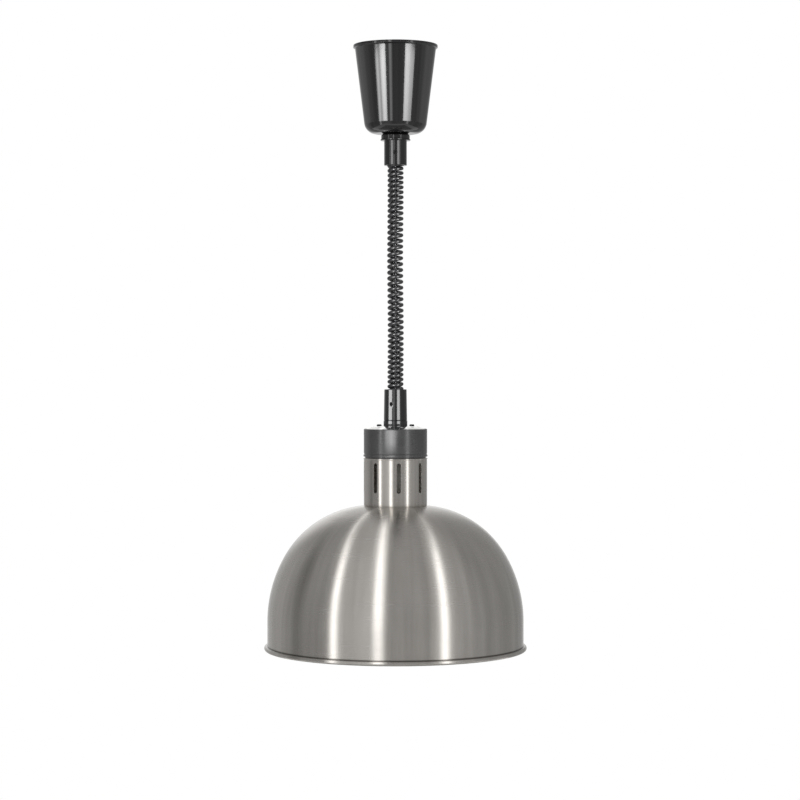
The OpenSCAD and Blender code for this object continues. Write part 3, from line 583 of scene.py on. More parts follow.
outline = [(rebate_r, collar_high.z)]
outline += arc((collar_r - collar_edge, collar_high.z - collar_edge), collar_edge, 90, 0, 8)
outline += [
    (collar_r, groove_z + groove_h + groove_slope), (groove_r, groove_z + groove_h),
    (groove_r, groove_z), (collar_r, groove_z - groove_slope),
    (collar_high.x, collar_low.z + collar_lip_h), (collar_high.x, seam_z + collar_lip_edge),
    (collar_high.x - collar_lip_edge, seam_z), (seam_r, seam_z), (seam_r, collar_low.z),
    (collar_in_r, collar_low.z), (collar_in_r, ledge_low), (ledge_r, ledge_low + ledge_slope),
    (ledge_r, ledge_z), (collar_in_r, ledge_z), (collar_in_r, rebate_z), (rebate_r, rebate_z),
]
collar = turned("collar_ring", outline, 160)
finish_edges(collar, 0.00015)
fit(collar, "lamp_head", "satin_black", "collar")

# %% [markdown]
# ## The neck
# The neck is a steel tube with a bead at its top. Eight long slots with round ends let the warm air
# out. A slot's cutter starts as a cube: its four long edges are bevelled by half of its width, which
# makes the ends round, and copies of it stand around the axis.

# %% Turn the neck
neck_low, neck_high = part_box("neck")
shade_low, shade_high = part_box("shade")
neck_t = 0.0008
neck_r = collar_r - 0.00005
neck_edge = 0.0004
bead_r = 0.0009
bead_in = 0.0005
bead_h = 0.0022
neck_top = collar_low.z
shade_top = shade_high.z
neck_rows = 20
spigot_r = collar_in_r - 0.00015
spigot_foot = neck_high.z - neck_t
low_spigot_r = neck_r - 0.002
tie_flange_r = spigot_r - 0.00715

bead_end = -degrees(acos(bead_in / bead_r))
row_top, row_foot = neck_top - bead_h, shade_top + 0.0015
inner_r = neck_r - neck_t
outline = arc((neck_r - bead_in, neck_top - bead_r), bead_r, 90, bead_end, 12)
outline += line((neck_r, row_top), (neck_r, row_foot), neck_rows)
outline += [
    (neck_r - neck_edge, shade_top), (low_spigot_r, shade_top),
    (low_spigot_r, neck_low.z), (low_spigot_r - neck_t, neck_low.z),
    (low_spigot_r - neck_t, shade_top + neck_t), (inner_r, row_foot + neck_t),
]
outline += line((inner_r, row_foot), (inner_r, row_top), neck_rows)[1:-1]
outline += [
    (inner_r, neck_top - neck_t), (spigot_r - neck_t, neck_top - neck_t),
    (spigot_r - neck_t, spigot_foot), (tie_flange_r, spigot_foot), (tie_flange_r, neck_high.z),
    (spigot_r, neck_high.z), (spigot_r, neck_top),
]
neck = turned("neck_tube", outline, 192)

# %% Punch the neck's slots
slots = 8
slot_w = 0.0047
slot_l = 0.033
slot_top = neck_top - 0.005
slot_turn = radians(6)
slot_depth = 0.008
end_round = 0.499

slot_cutter = added(bpy.ops.mesh.primitive_cube_add, size=1)
bpy.ops.object.mode_set(mode="EDIT")
bpy.ops.transform.resize(value=(slot_w, slot_depth, slot_l))
bpy.ops.mesh.select_all(action="DESELECT")
bpy.ops.object.mode_set(mode="OBJECT")
for edge in slot_cutter.data.edges:
    a, b = (slot_cutter.data.vertices[i].co for i in edge.vertices)
    edge.select = abs(a.y - b.y) > slot_depth / 2
bpy.ops.object.mode_set(mode="EDIT")
bpy.ops.mesh.select_mode(type="EDGE")
bpy.ops.mesh.bevel(offset=slot_w * end_round, segments=10, affect="EDGES")
bpy.ops.mesh.select_mode(type="VERT")
bpy.ops.mesh.select_all(action="SELECT")
bpy.ops.transform.translate(value=(0, -neck_r, slot_top - slot_l / 2))
bpy.ops.transform.rotate(value=-slot_turn, orient_axis="Z", center_override=(0, 0, 0))
bpy.ops.object.mode_set(mode="OBJECT")
cut_away(neck, ring_of(slot_cutter, slots))
finish_edges(neck, 0.00015, angle=35)
fit(neck, "lamp_head", "brushed_steel", "neck")

# %% [markdown]
# ## The shade
# The shade is a dome spun from steel sheet less than a millimetre thick. Two arcs make its curve,
# and one runs into the other without a kink. At the bottom the sheet is rolled outwards into a round
# rim, which stiffens it and covers the sharp edge. The outline goes down the outside, around the
# rim, and back up the inside.

# %% Spin the shade
shade_t = 0.0008
rim_r = 0.0025
rim_lap = 0.0015
skirt_r = shade_high.x - 2 * rim_r + rim_lap
shade_hole_r = low_spigot_r + 0.0001
lower_curve_r = 0.145
start_slope = 4.3
mid_slope = 60
start_sin, mid_sin = sin(radians(start_slope)), sin(radians(mid_slope))
upper_curve_r = (skirt_r - neck_r - lower_curve_r * (1 - mid_sin)) / (mid_sin - start_sin)
upper_centre = (
    neck_r - upper_curve_r * start_sin,
    shade_top - upper_curve_r * cos(radians(start_slope)),
)
lower_centre = (
    skirt_r - lower_curve_r,
    upper_centre[1] + (upper_curve_r - lower_curve_r) * cos(radians(mid_slope)),
)
rim_centre = (shade_high.x - rim_r, shade_low.z + rim_r)


def rim_angle(r):
    """Angle around the rolled rim at which a wall at a distance r from the axis runs into it."""
    return degrees(acos((r - rim_centre[0]) / rim_r))


upper_start, upper_end = 90 - start_slope, 90 - mid_slope
outline = [(shade_hole_r, shade_top)]
outline += arc(upper_centre, upper_curve_r, upper_start, upper_end, 48)
outline += arc(lower_centre, lower_curve_r, upper_end, 0, 28)[1:]
outline += arc(rim_centre, rim_r, rim_angle(skirt_r), rim_angle(skirt_r - shade_t) - 360, 36)
outline += arc(lower_centre, lower_curve_r - shade_t, 0, upper_end, 24)
outline += arc(upper_centre, upper_curve_r - shade_t, upper_end, upper_start, 40)[1:]
outline += [(shade_hole_r, shade_top - shade_t)]
shade = turned("shade_dome", outline, 224)
finish_edges(shade, 0, angle=40)
fit(shade, "lamp_head", "brushed_steel", "shade")

# %% [markdown]
# ## The bulb
# The bulb is a reflector lamp of hard glass. Its back is silvered inside, so it throws the heat
# down, and its face is frosted. The glass is one closed shell with an outer and an inner wall.

# %% Blow the bulb's glass
glass_low, glass_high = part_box("bulb_glass")
cap_low, cap_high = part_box("bulb_cap")
glass_t = 0.001
bulb_r = glass_high.x
glass_top_r = cap_high.x - 0.0015
glass_neck_r = 0.0175
wide_z = glass_low.z + 0.022
flare_z = wide_z + 0.074
shoulder_start = 0.001
shoulder_pull = 0.005
shoulder_h = 0.012
flare_pull = 0.022
wide_pull = 0.038
face_pull = 0.017
face_share = 0.6


def glass_wall(t, steps):
    """Outline of the glass from the cap to the middle of the face, t inside the outer wall."""
    top, neck_r, wide = glass_top_r - t, glass_neck_r - t, bulb_r - t
    cap_z, face_z = cap_low.z, glass_low.z + t
    wall = [(top, glass_high.z), (top, cap_z)]
    wall += bend(
        (top, cap_z - shoulder_start), (top, cap_z - shoulder_start - shoulder_pull),
        (neck_r, cap_z - shoulder_pull), (neck_r, cap_z - shoulder_h), steps // 3,
    )
    wall += bend(
        (neck_r, flare_z), (neck_r, flare_z - flare_pull), (wide, wide_z + wide_pull),
        (wide, wide_z), steps,
    )
    face = (wide, wide_z), (wide, wide_z - face_pull), (bulb_r * face_share, face_z), (0, face_z)
    return wall + bend(*face, steps)[1:]


outline = glass_wall(0, 30) + glass_wall(glass_t, 24)[::-1]
bulb = turned("bulb_envelope", outline, 128)
finish_edges(bulb, 0, angle=50)
fit(bulb, "bulb", "bulb_glass", "bulb_glass")

# %% [markdown]
# ## Fasteners, plates and mouldings
# Each way of making hardware leaves its own edge: strip and stamped sheet are almost sharp, screws
# and nuts have a small chamfer, mouldings a round edge, and glazed porcelain a soft one.

# %% Round the small parts
small_parts = {
    0.0002: [
        "mounting_plate", "reel_frame", "barrel_cover", "bridge_plate", "holder_plate", "earth_tag",
        "head_earth_tag", "shade_ring", "frame_rivets", "terminal_screws", "earth_screw", "block_screw",
        "tie_screws", "holder_screws", "spacer_sleeve", "wire_anchor", "cap_contact", "centre_contact",
    ],
    0.0003: [
        "reel_axle", "axle_nut", "canopy_nut", "lock_nut", "tie_nuts", "holder_posts", "axle_spacers",
        "bush_nut", "upper_cord_bush", "lower_cord_bush", "cap_insulator",
    ],
    0.0004: ["terminal_block", "reel_drum", "screw_shell", "bulb_cap"],
    0.0006: ["lampholder"],
    0.00008: ["power_spring"],
}
for width, names in small_parts.items():
    for node_name in names:
        finer(node_name, width)
for node_name in ("supply_cores", "lamp_leads", "earth_lead", "glass_stem", "filament_supports"):
    finer(node_name, 0, angle=50)
for node_name in ("cover_screws", "canopy_grub_screw", "head_grub_screw"):
    finer(node_name, 0.00015, "black_screw")

# %% [markdown]
# ## The wound wire and the filament
# The wire lies on the drum in layers, side by side, and each layer runs back over the one below.
# The bulb's filament is a long tungsten wire wound into a thin coil that hangs between its supports.
# Both are drawn as cables along a helix.

# %% Wind the wire on the drum
winding_low, winding_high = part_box("wire_winding")
winding_axis = (winding_low + winding_high) / 2
wire_d = wire_high.x - wire_low.x
outer_layer_r = (winding_high.x - winding_low.x) / 2 - wire_d / 2
layers = 3
layer_step = 0.9 * wire_d
layer_turns = int((winding_high.y - winding_low.y) / wire_d) - 1
laid_w = winding_high.y - winding_low.y - wire_d
winding_points = 24
wound_path = []
for i in range(layers * layer_turns * winding_points):
    layer, turns = divmod(i / winding_points, layer_turns)
    across = turns / layer_turns if layer % 2 == 0 else 1 - turns / layer_turns
    wound_r = outer_layer_r - layer_step * layer
    angle = 2 * pi * i / winding_points
    wound_path.append((
        winding_axis.x + wound_r * cos(angle),
        winding_low.y + wire_d / 2 + across * laid_w,
        winding_axis.z + wound_r * sin(angle),
    ))
winding = cable("wire_winding_layers", wound_path, wire_d, sides=2)
fit(winding, "reel", "steel_wire", "wire_winding")

# %% Wind the filament
filament_low, filament_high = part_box("filament")
filament_r = 0.0009
filament_d = 0.0003
filament_turns = 44
filament_points = 12
filament_room = 0.0011
end_z = filament_high.z - filament_room
# The middle of the curve hangs three quarters of the way down to the points that pull it.
pull_z = (8 * (filament_low.z + filament_room) - 2 * end_z) / 6
ends = filament_high.x
hang = bend(
    (-ends, end_z), (-ends / 2, pull_z), (ends / 2, pull_z), (ends, end_z),
    filament_turns * filament_points,
)
filament_path = []
for i, (here, there) in enumerate(zip(hang, hang[1:])):
    along = Vector((there[0] - here[0], 0, there[1] - here[1])).normalized()
    angle = 2 * pi * i / filament_points
    off = Vector((0, cos(angle), 0)) + sin(angle) * along.cross(Vector((0, 1, 0)))
    filament_path.append(Vector((here[0], 0, here[1])) + filament_r * off)
filament = cable("filament_coil", filament_path, filament_d, sides=1)
fit(filament, "bulb", "tungsten", "filament")

# %% [markdown]
# ## Finishes
# Each finish is a Principled shader with a few nodes that vary it. One helper adds a node and fills
# its sockets, with a value or with another node's output, and the others build on it.

# %% Add nodes


def node(finish, kind, inputs=None, **settings):
    """Adds a node to a material or world, with its settings and inputs."""
    made = finish.node_tree.nodes.new("ShaderNode" + kind)
    for name, value in settings.items():
        setattr(made, name, value)
    for key, value in (inputs or {}).items():
        if isinstance(value, bpy.types.NodeSocket):
            finish.node_tree.links.new(value, made.inputs[key])
        else:
            made.inputs[key].default_value = value
    return made


def maths(finish, operation, *values):
    """The result of a calculation with numbers or with other nodes' outputs."""
    return node(finish, "Math", dict(enumerate(values)), operation=operation).outputs[0]


def place_in(finish):
    """The object's own coordinates, which stay on the piece when it moves."""
    return node(finish, "TexCoord").outputs["Object"]


def height_in(finish):
    """Height in the object's own coordinates."""
    return node(finish, "SeparateXYZ", {0: place_in(finish)}).outputs[2]


def noise(finish, scale, detail=3, roughness=0.5, place=None):
    """A noise pattern's value, from 0 to 1, on the object's own coordinates or on others."""
    values = {"Scale": scale, "Detail": detail, "Roughness": roughness}
    return node(finish, "TexNoise", {"Vector": place or place_in(finish), **values}).outputs["Fac"]


def ranged(finish, value, low, high, start=0.3, end=0.7):
    """Maps a pattern's value to a range."""
    values = {"Value": value, "From Min": start, "From Max": end, "To Min": low, "To Max": high}
    return node(finish, "MapRange", values).outputs["Result"]


def add_levels(finish, first, second, share):
    """Two patterns laid over each other; the second one has this share."""
    return node(finish, "Mix", {0: share, 2: first, 3: second}, data_type="FLOAT").outputs[0]


def mixed(finish, factor, first, second):
    """Mixes two colours by a pattern. The first may also be an output."""
    first = first if isinstance(first, bpy.types.NodeSocket) else (*first, 1)
    colours = {0: factor, 6: first, 7: (*second, 1)}
    return node(finish, "Mix", colours, data_type="RGBA").outputs[2]


# %% Start a material and vary its shader
finishes = {}


def material(name, **sockets):
    """A material whose Principled shader has these plain values."""
    made = bpy.data.materials.new(name)
    made.use_nodes = True
    for key, value in sockets.items():
        shader_of(made).inputs[key.replace("_", " ")].default_value = value
    return made


def shader_of(finish):
    """The material's Principled shader."""
    return finish.node_tree.nodes["Principled BSDF"]


def new_finish(name, colour, roughness, metallic=0, **sockets):
    """A finish of the lamp, kept under its slot's name."""
    finishes[name] = material(
        "made_" + name, Base_Color=(*colour, 1), Roughness=roughness, Metallic=metallic, **sockets
    )
    print("finish:", name)
    return finishes[name]


def feed(finish, socket, output):
    """Links an output to a socket of the material's Principled shader."""
    finish.node_tree.links.new(output, shader_of(finish).inputs[socket])


def roughen(finish, pattern, low, high, start=0.3, end=0.7):
    """Varies the roughness by a pattern."""
    feed(finish, "Roughness", ranged(finish, pattern, low, high, start, end))


def tint(finish, pattern, first, second):
    """Varies the colour by a pattern."""
    feed(finish, "Base Color", mixed(finish, ranged(finish, pattern, 0, 1), first, second))


def bumped(finish, height, depth, strength):
    """Turns a pattern into a relief that is at most so many metres deep."""
    bump = node(finish, "Bump", {"Height": height, "Strength": strength, "Distance": depth})
    feed(finish, "Normal", bump.outputs["Normal"])


# %% [markdown]
# A turned or spun surface has fine rings around its axis. Noise is stretched into rings by giving it
# coordinates that change fast along the piece and slowly around it, and into streaks by the opposite.
# A direction around the axis is a point on a circle, so the pattern closes without a seam.

# %% Rings and streaks around the lamp's axis


def axial_place(finish, around, along, sloped=False):
    """Coordinates that change by so much around the axis and by so much up it, or up a slope."""
    xyz = node(finish, "SeparateXYZ", {0: place_in(finish)})
    flat = node(finish, "CombineXYZ", {0: xyz.outputs[0], 1: xyz.outputs[1]}).outputs[0]
    facing = node(finish, "VectorMath", {0: flat}, operation="NORMALIZE").outputs[0]
    wide = node(finish, "VectorMath", {0: facing, "Scale": around}, operation="SCALE").outputs[0]
    level = xyz.outputs[2]
    if sloped:
        radius = node(finish, "VectorMath", {0: flat}, operation="LENGTH").outputs["Value"]
        level = maths(finish, "SUBTRACT", level, radius)
    step = node(finish, "CombineXYZ", {2: maths(finish, "MULTIPLY", level, along)}).outputs[0]
    return node(finish, "VectorMath", {0: wide, 1: step}, operation="ADD").outputs[0]


def rings_on(finish, count, drift):
    """A pattern of rings: so many per metre along the piece, drifting slowly around the axis."""
    return noise(finish, 1, 3, 0.6, axial_place(finish, drift, count, sloped=True))


# %% [markdown]
# ### Brushed steel
# The dome and neck were brushed while they turned on the lathe. The scratches run around them, so a
# reflection stays sharp from side to side but is drawn out along the dome. The shader's anisotropy
# does this, with its direction taken from the piece's axis. Fine rings are added in the bump and in
# the roughness, and soft clouds and streaks of lacquer change the colour a little. A dark line of
# painted shade is laid into the colour along the crease above the rolled rim.

# %% Make the brushed steel
steel = new_finish(
    "brushed_steel", (0.56, 0.55, 0.53), 0.27, 1, Anisotropic=0.95, Anisotropic_Rotation=0.25
)
tangent = node(steel, "Tangent", direction_type="RADIAL", axis="Z")
feed(steel, "Tangent", tangent.outputs[0])
roughen(steel, rings_on(steel, 160, 1), 0.25, 0.28)
rings = rings_on(steel, 1500, 2.5)
waves = noise(steel, 22, 1)
bumped(steel, add_levels(steel, rings, waves, 0.99), 0.0001, 0.06)

streaks = noise(steel, 1, 4, 0.65, axial_place(steel, 22, 11))
clouds = noise(steel, 14, 4, 0.6)
tone = add_levels(steel, add_levels(steel, clouds, rings, 0.2), streaks, 0.5)
unshaded_tone = mixed(steel, ranged(steel, tone, 0, 1, 0.35, 0.65), (0.52, 0.493, 0.461), (0.6, 0.577, 0.545))
# Painted shade: the colour darkens to a thin dark line along the crease above the rolled rim.
crease_z = shade_low.z + 0.0052
off = maths(steel, "ABSOLUTE", maths(steel, "SUBTRACT", height_in(steel), crease_z))
crease_shade = ranged(steel, off, 0.75, 0, 0.0003, 0.0012)
feed(steel, "Base Color", mixed(steel, crease_shade, unshaded_tone, (0.12, 0.11, 0.1)))

# %% [markdown]
# ### Black enamel and satin black
# The enamel is a smooth, nearly black paint under a clear coat. It shows a faint ripple, like orange
# peel. The collar's black is satin, and shows the rings of the lathe.

# %% Make the blacks
enamel = new_finish(
    "gloss_black", (0.008, 0.008, 0.009), 0.1, Coat_Weight=0.25, Coat_Roughness=0.04
)
roughen(enamel, noise(enamel, 30, 5, 0.65), 0.08, 0.13)
bumped(enamel, noise(enamel, 260, 2), 0.00002, 0.35)

satin = new_finish("satin_black", (0.035, 0.035, 0.036), 0.26, IOR=1.9)
clouds = noise(satin, 60, 4)
roughen(satin, clouds, 0.22, 0.28)
tint(satin, clouds, (0.031, 0.031, 0.032), (0.04, 0.04, 0.041))
bumped(satin, rings_on(satin, 1400, 1.5), 0.000012, 0.5)

screw_black = new_finish("black_screw", (0.02, 0.02, 0.022), 0.32, 0.35)
oxide = noise(screw_black, 900)
roughen(screw_black, oxide, 0.26, 0.42)
bumped(screw_black, oxide, 0.00001, 0.4)

# %% [markdown]
# ### Polished, zinc-plated and spring steel
# The top cover is polished to a mirror, with hair-fine rings left by the mop. Zinc plating is a
# little rougher, with a faint pattern of grains. The spring strip has the blue of tempered steel.

# %% Make the other steels
mirror = new_finish("polished_steel", (0.8, 0.8, 0.79), 0.1, 1)
roughen(mirror, noise(mirror, 80, 4, 0.6), 0.07, 0.14)
bumped(mirror, rings_on(mirror, 2600, 2), 0.000006, 0.4)

zinc = new_finish("zinc_steel", (0.6, 0.61, 0.63), 0.34, 1)
tint(zinc, noise(zinc, 55, 5, 0.6), (0.55, 0.56, 0.59), (0.64, 0.65, 0.66))
grains = node(zinc, "TexVoronoi", {"Vector": place_in(zinc), "Scale": 420}).outputs["Distance"]
roughen(zinc, grains, 0.3, 0.4, 0.1, 0.8)
bumped(zinc, grains, 0.00001, 0.3)

spring = new_finish("spring_steel", (0.2, 0.22, 0.27), 0.26, 1)
heat = noise(spring, 45)
tint(spring, heat, (0.17, 0.19, 0.27), (0.26, 0.24, 0.24))
roughen(spring, heat, 0.22, 0.32)

# %% [markdown]
# ### Wires, cord and sleeves
# The lift wire is laid from thin strands, so slanted bands run across it. The cord's sheath is black
# PVC with a fine pull from the extruder. The leads inside wear woven glass sleeves.

# %% Make the wires and cords
wire = new_finish("steel_wire", (0.55, 0.56, 0.58), 0.3, 1)
lay = node(
    wire, "TexWave", {"Vector": place_in(wire), "Scale": 260, "Distortion": 0.4},
    wave_type="BANDS", bands_direction="DIAGONAL",
).outputs["Fac"]
feed(wire, "Base Color", mixed(wire, lay, (0.32, 0.33, 0.34), (0.62, 0.63, 0.65)))
bumped(wire, lay, 0.00008, 0.7)

sheath = new_finish("black_cord", (0.012, 0.012, 0.013), 0.26)
wear = noise(sheath, 70, 4, 0.6)
roughen(sheath, wear, 0.21, 0.32)
tint(sheath, wear, (0.01, 0.01, 0.011), (0.015, 0.015, 0.016))
bumped(sheath, noise(sheath, 420, 4, 0.6), 0.00002, 0.3)

braid = new_finish("core_insulation", (0.62, 0.58, 0.5), 0.7)
tint(braid, noise(braid, 120, 4), (0.55, 0.5, 0.42), (0.68, 0.65, 0.57))
weave = node(braid, "TexChecker", {"Vector": place_in(braid), "Scale": 1300})
bumped(braid, weave.outputs["Fac"], 0.00004, 0.6)

# %% [markdown]
# ### Nylon, brass and porcelain
# The reel drum and terminal block are moulded nylon with a slight texture. Brass is turned and goes
# brown in patches. The lampholder is glazed porcelain with faint waves in its glaze.

# %% Make the nylons, the brass and the porcelain


def moulded(name, darker, lighter, roughness):
    """A moulded plastic with a fine spark-eroded texture."""
    plastic = new_finish(name, lighter, roughness)
    tint(plastic, noise(plastic, 90, 4), darker, lighter)
    texture = noise(plastic, 1500, 2)
    roughen(plastic, texture, roughness - 0.06, roughness + 0.06)
    bumped(plastic, texture, 0.00003, 0.3)


moulded("white_nylon", (0.79, 0.775, 0.72), (0.84, 0.83, 0.79), 0.42)
moulded("black_nylon", (0.026, 0.026, 0.028), (0.035, 0.035, 0.037), 0.4)

brass = new_finish("brass", (0.72, 0.55, 0.28), 0.24, 1)
tarnish = noise(brass, 180, 5, 0.6)
tint(brass, tarnish, (0.62, 0.45, 0.21), (0.76, 0.6, 0.33))
roughen(brass, tarnish, 0.32, 0.19)

ceramic = new_finish("ceramic", (0.86, 0.85, 0.8), 0.3, Coat_Weight=0.8, Coat_Roughness=0.06)
glaze = noise(ceramic, 70)
tint(ceramic, glaze, (0.82, 0.8, 0.74), (0.88, 0.87, 0.83))
bumped(ceramic, glaze, 0.0001, 0.25)

# %% [markdown]
# ### The bulb
# The bulb's glass is silvered behind its widest ring and frosted on its face. Both are one material:
# a mask from the height changes metal into clear, rough glass over a few millimetres.

# %% Make the bulb's finishes
glass = new_finish("bulb_glass", (0.86, 0.87, 0.88), 0.3, IOR=1.47)
silvered = ranged(glass, height_in(glass), 0, 1, wide_z - 0.001, wide_z + 0.003)
feed(glass, "Metallic", silvered)
feed(glass, "Transmission Weight", ranged(glass, silvered, 0.92, 0, 0, 1))
roughen(glass, silvered, 0.42, 0.12, 0, 1)
bumped(glass, noise(glass, 700), 0.00003, 0.3)

cap = new_finish("cap_metal", (0.78, 0.76, 0.7), 0.25, 1)
dull = noise(cap, 160, 4)
roughen(cap, dull, 0.2, 0.34)
tint(cap, dull, (0.74, 0.71, 0.64), (0.8, 0.785, 0.74))

insulator = new_finish("cap_glass", (0.03, 0.03, 0.04), 0.12, Coat_Weight=0.5)
ripple = noise(insulator, 300)
roughen(insulator, ripple, 0.09, 0.18)
bumped(insulator, ripple, 0.00005, 0.3)

tungsten = new_finish("tungsten", (0.16, 0.16, 0.17), 0.45, 1)
roughen(tungsten, noise(tungsten, 1200), 0.38, 0.55)

# %% [markdown]
# ## Dress every piece
# The record names a finish for each node, and each new piece has the name in its slot.

# %% Put the finishes on
dressed = 0
for piece in bpy.data.objects:
    slot = piece.get("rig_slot") or slot_of.get(piece.name)
    if piece.type == "MESH" and slot:
        piece.data.materials.clear()
        piece.data.materials.append(finishes[slot])
        dressed += 1
print("finishes:", len(finishes), "on", dressed, "pieces")

# %% [markdown]
# ## Studio
# The lamp hangs in a white studio. Metal shows what stands around it, so the light comes from soft
# uneven walls, a bright glow behind and above the lamp, and a backdrop that runs along the edges of
# the dome.

# %% Make the walls and the glow
studio = bpy.data.worlds.new("studio")
studio.use_nodes = True
bpy.context.scene.world = studio
direction = node(studio, "TexCoord").outputs["Generated"]


def glow(towards, inner, outer, strength):
    """A round soft light in the world, even up to an inner angle and faded at an outer one."""
    nearness = node(studio, "VectorMath", {0: direction, 1: towards}, operation="DOT_PRODUCT")
    near, far = cos(radians(inner)), cos(radians(outer))
    return ranged(studio, nearness.outputs["Value"], 0, strength, far, near)


upright = node(studio, "VectorMath", {0: direction, 1: (1, 1, 0.12)}, operation="MULTIPLY")
level = ranged(studio, noise(studio, 3.2, 3, 0.55, upright.outputs[0]), 0.26, 0.42)
for light in glow((-0.09, 0.93, 0.37), 9, 21, 0.58), glow((0, 0.996, -0.087), 7, 22, 0.4):
    level = maths(studio, "ADD", level, light)
print("studio world:", len(studio.node_tree.nodes), "nodes")

# %% [markdown]
# Bands of light arch over the lamp. A dome bends what it mirrors, so a straight light would cross it
# in a curve. Each band is therefore laid where one meridian of the dome mirrors it for someone who
# stands at the front: halfway between the two directions lies the dome's own normal, and the band is
# bright where that normal's turn round the axis is the band's own.

# %% Lay a band along a meridian of the dome
halfway = node(studio, "VectorMath", {0: direction, 1: (0, -0.998, 0.06)}, operation="ADD")
normal = node(studio, "VectorMath", {0: halfway.outputs[0]}, operation="NORMALIZE")
normal_x, normal_y, normal_z = node(studio, "SeparateXYZ", {0: normal.outputs[0]}).outputs
around = maths(studio, "ARCTAN2", normal_x, maths(studio, "MULTIPLY", normal_y, -1))
meridian = maths(studio, "MULTIPLY", around, ranged(studio, normal_z, 1, 0.86, 0.55, 0.95))


def band(start, full, until, gone, strength, at_top=0.5, low=-1, faded=-0.9):
    """A band between two turns in degrees, with soft sides, that fades towards its ends."""
    rise = ranged(studio, meridian, 0, 1, radians(start), radians(full))
    fall = ranged(studio, meridian, 1, 0, radians(until), radians(gone))
    lift = ranged(studio, normal_z, 0, strength, low, faded)
    fade_up = ranged(studio, normal_z, 1, at_top, 0.45, 0.8)
    side = maths(studio, "MULTIPLY", rise, fall)
    return maths(studio, "MULTIPLY", side, maths(studio, "MULTIPLY", lift, fade_up))


# %% [markdown]
# Three thin strong bands make the dome's bright lines. Wide weak ones make the slow changes of tone
# between them, and one of these takes light away. Faint streaks along the same meridians keep the
# light uneven, as in a real room.

# %% Add the bands and the streaks
strong_bands = (
    (-30.4, -29, -27.6, -26, 2.4, 0.45), (-10.2, -8.8, -6.8, -4.4, 2.3, 0.8, -0.11, -0.07),
    (20, 21.4, 23, 24.6, 2.3, 0.15),
)
weak_bands = (
    (-88, -78, -68, -58, 0.1), (-54, -51, -48, -44, -0.09), (-32, -27, -25, -21, 0.15),
    (-28, -24, -16, -11, 0.16), (-24, -12, -10, -3, 0.26), (-3, 1, 12.5, 13.5, 0.08),
    (15.5, 18, 25, 29, 0.25), (27, 29, 36, 38, 0.1),
)
for settings in strong_bands + weak_bands:
    level = maths(studio, "ADD", level, band(*settings))
streak_place = node(studio, "CombineXYZ", {0: meridian}).outputs[0]
streaks = noise(studio, 30, 4, 0.6, streak_place)
level = maths(studio, "ADD", level, ranged(studio, streaks, -0.08, 0.09))
print("bands of light:", len(strong_bands), "strong,", len(weak_bands), "weak")

# %% [markdown]
# The camera sees the studio as plain white, also through glass, while the greyer walls and the bands
# light the lamp. The Light Path node tells the two apart.

# %% Show the world white
rays = node(studio, "LightPath").outputs
seen = maths(studio, "MAXIMUM", rays["Is Camera Ray"], rays["Is Transmission Ray"])
background = studio.node_tree.nodes["Background"]
background.inputs["Color"].default_value = (1, 1, 1, 1)
studio.node_tree.links.new(add_levels(studio, level, 1, seen), background.inputs["Strength"])

# %% [markdown]
# A turned piece mirrors a softbox as an upright stripe. A cylinder turns a reflection by twice its
# own angle, so a stripe 20 degrees round the cup comes from a box 40 degrees round. Each box lights
# only the piece that it is meant for, through light linking: a box that is strong enough to show in
# black enamel would burn out the bare metal beside it.

# %% Hang the softboxes


def softbox(name, lit, turn, low, high, width, radiance, spread=180, distance=1.2):
    """A soft light on one piece, so many degrees round from the front to the right."""
    angle = radians(turn)
    middle = (low + high) / 2
    place = Vector((distance * sin(angle), -distance * cos(angle), middle))
    box = added(bpy.ops.object.light_add, type="AREA", location=place)
    box.name = name
    box.rotation_euler = (Vector((0, 0, middle)) - place).to_track_quat("-Z", "Y").to_euler()
    box.data.shape = "RECTANGLE"
    box.data.size = width
    box.data.size_y = high - low
    box.data.energy = radiance * pi * width * (high - low)
    box.data.spread = radians(spread)
    box.visible_camera = False
    receivers = bpy.data.collections.new("lit_by_" + name)
    receivers.objects.link(lit)
    box.light_linking.receiver_collection = receivers


cup_from, cup_to = -0.35, -0.11
softbox("cup_left_inner", canopy, -37.5, cup_from, cup_to, 0.36, 0.76, 36)
softbox("cup_left_outer", canopy, -54, cup_from, cup_to, 0.34, 0.32, 36)
softbox("cup_right_inner", canopy, 35, cup_from, cup_to, 0.31, 0.66, 36)
softbox("cup_right_outer", canopy, 49.5, cup_from, cup_to, 0.32, 0.36, 36)
for side in (-1, 1):
    softbox("cup_side", canopy, side * 105, -0.2, 0.05, 1, 0.035, 60, 0.7)
softbox("upper_sleeve_left", upper_sleeve, -36, -0.34, 0.2, 0.36, 5)
softbox("upper_sleeve_right", upper_sleeve, 28, -0.34, 0.2, 0.4, 4.5)
softbox("lower_sleeve_left", lower_sleeve, -53, -0.63, -0.08, 0.8, 9.5)
softbox("lower_sleeve_right", lower_sleeve, 29, -0.63, -0.08, 0.55, 8.5)
softbox("collar_front", collar, -17, -0.65, -0.12, 0.7, 2.7, distance=1)
softbox("neck_left", neck, -59, -0.61, -0.25, 0.06, 1.2, distance=0.6)
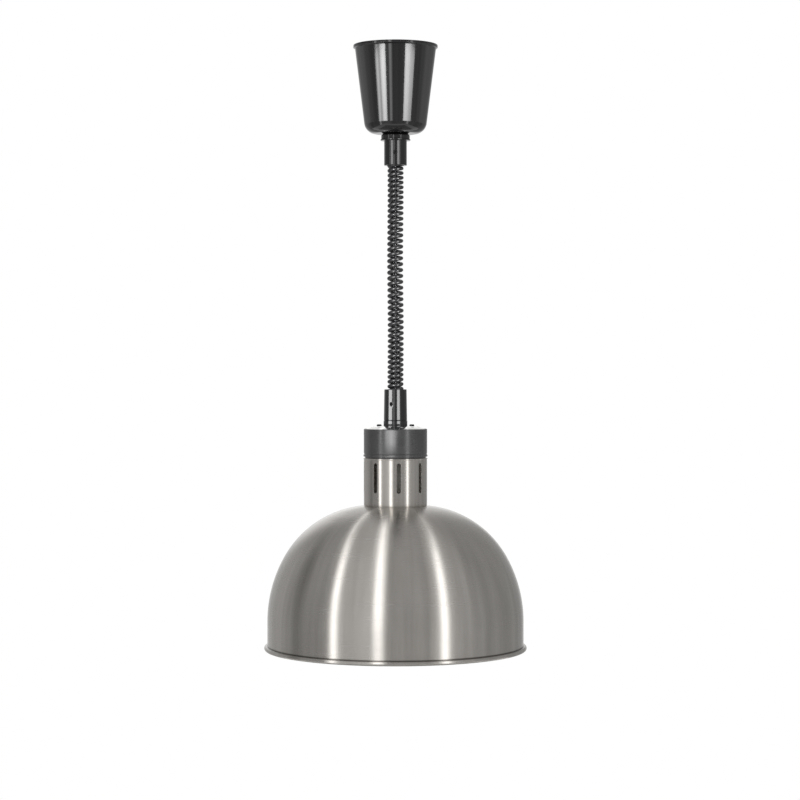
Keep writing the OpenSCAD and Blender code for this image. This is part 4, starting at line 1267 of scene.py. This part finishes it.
softbox("neck_front", neck, -19, -0.61, -0.25, 0.06, 1.6, distance=0.6)
softbox("cord_left", curly_cord, -26, -0.6, 0.15, 0.32, 30)
softbox("cord_right", curly_cord, 38, -0.6, 0.15, 0.32, 26)

# %% [markdown]
# The floor lies a room's height below the ceiling plate. It is white to the camera and in
# reflections, and lights the lamp from below as a pale floor does.

# %% Lay the floor
room_height = 2.5
floor = added(bpy.ops.mesh.primitive_plane_add, size=5, location=(0, 0, -room_height))
floor.name = "studio_floor"
floor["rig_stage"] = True
pale = material("pale_floor", Base_Color=(0.75, 0.75, 0.74, 1), Roughness=0.8)
rays = node(pale, "LightPath").outputs
mirrored = maths(pale, "MAXIMUM", rays["Is Camera Ray"], rays["Is Glossy Ray"])
seen = maths(pale, "MAXIMUM", mirrored, rays["Is Transmission Ray"])
white = node(pale, "Emission", {"Color": (1, 1, 1, 1), "Strength": 1}).outputs[0]
surface = node(pale, "MixShader", {0: seen, 1: shader_of(pale).outputs[0], 2: white}).outputs[0]
output = pale.node_tree.nodes["Material Output"]
pale.node_tree.links.new(surface, output.inputs["Surface"])
floor.data.materials.append(pale)
print("floor:", room_height, "m below the ceiling")

# %% [markdown]
# The rolled rim would mirror the white floor and melt into the background. A light grey card under
# the lamp keeps its lower edge visible. The camera doesn't see the card.

# %% Put a card under the lamp
card_size, card_z = 1.7, -1.5
card = added(bpy.ops.mesh.primitive_plane_add, size=card_size, location=(0, 0, card_z))
card.name = "studio_card"
card.visible_camera = False
card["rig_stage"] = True
card.data.materials.append(material("card_grey", Base_Color=(0.6, 0.6, 0.6, 1)))
print("card:", card_size, "m wide")

# %% [markdown]
# The Standard view transform shows each colour as it is lit, so the studio's white stays white.

# %% Choose the view
bpy.context.scene.view_settings.view_transform = "Standard"

# %% [markdown]
# ## The size of the model and of the scene

# %% Write the two boxes and finish
boxes = {"cad": cad_box, "visual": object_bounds()}
for name, (low, high) in boxes.items():
    print(name, "box", [round(v, 4) for v in low], [round(v, 4) for v in high])
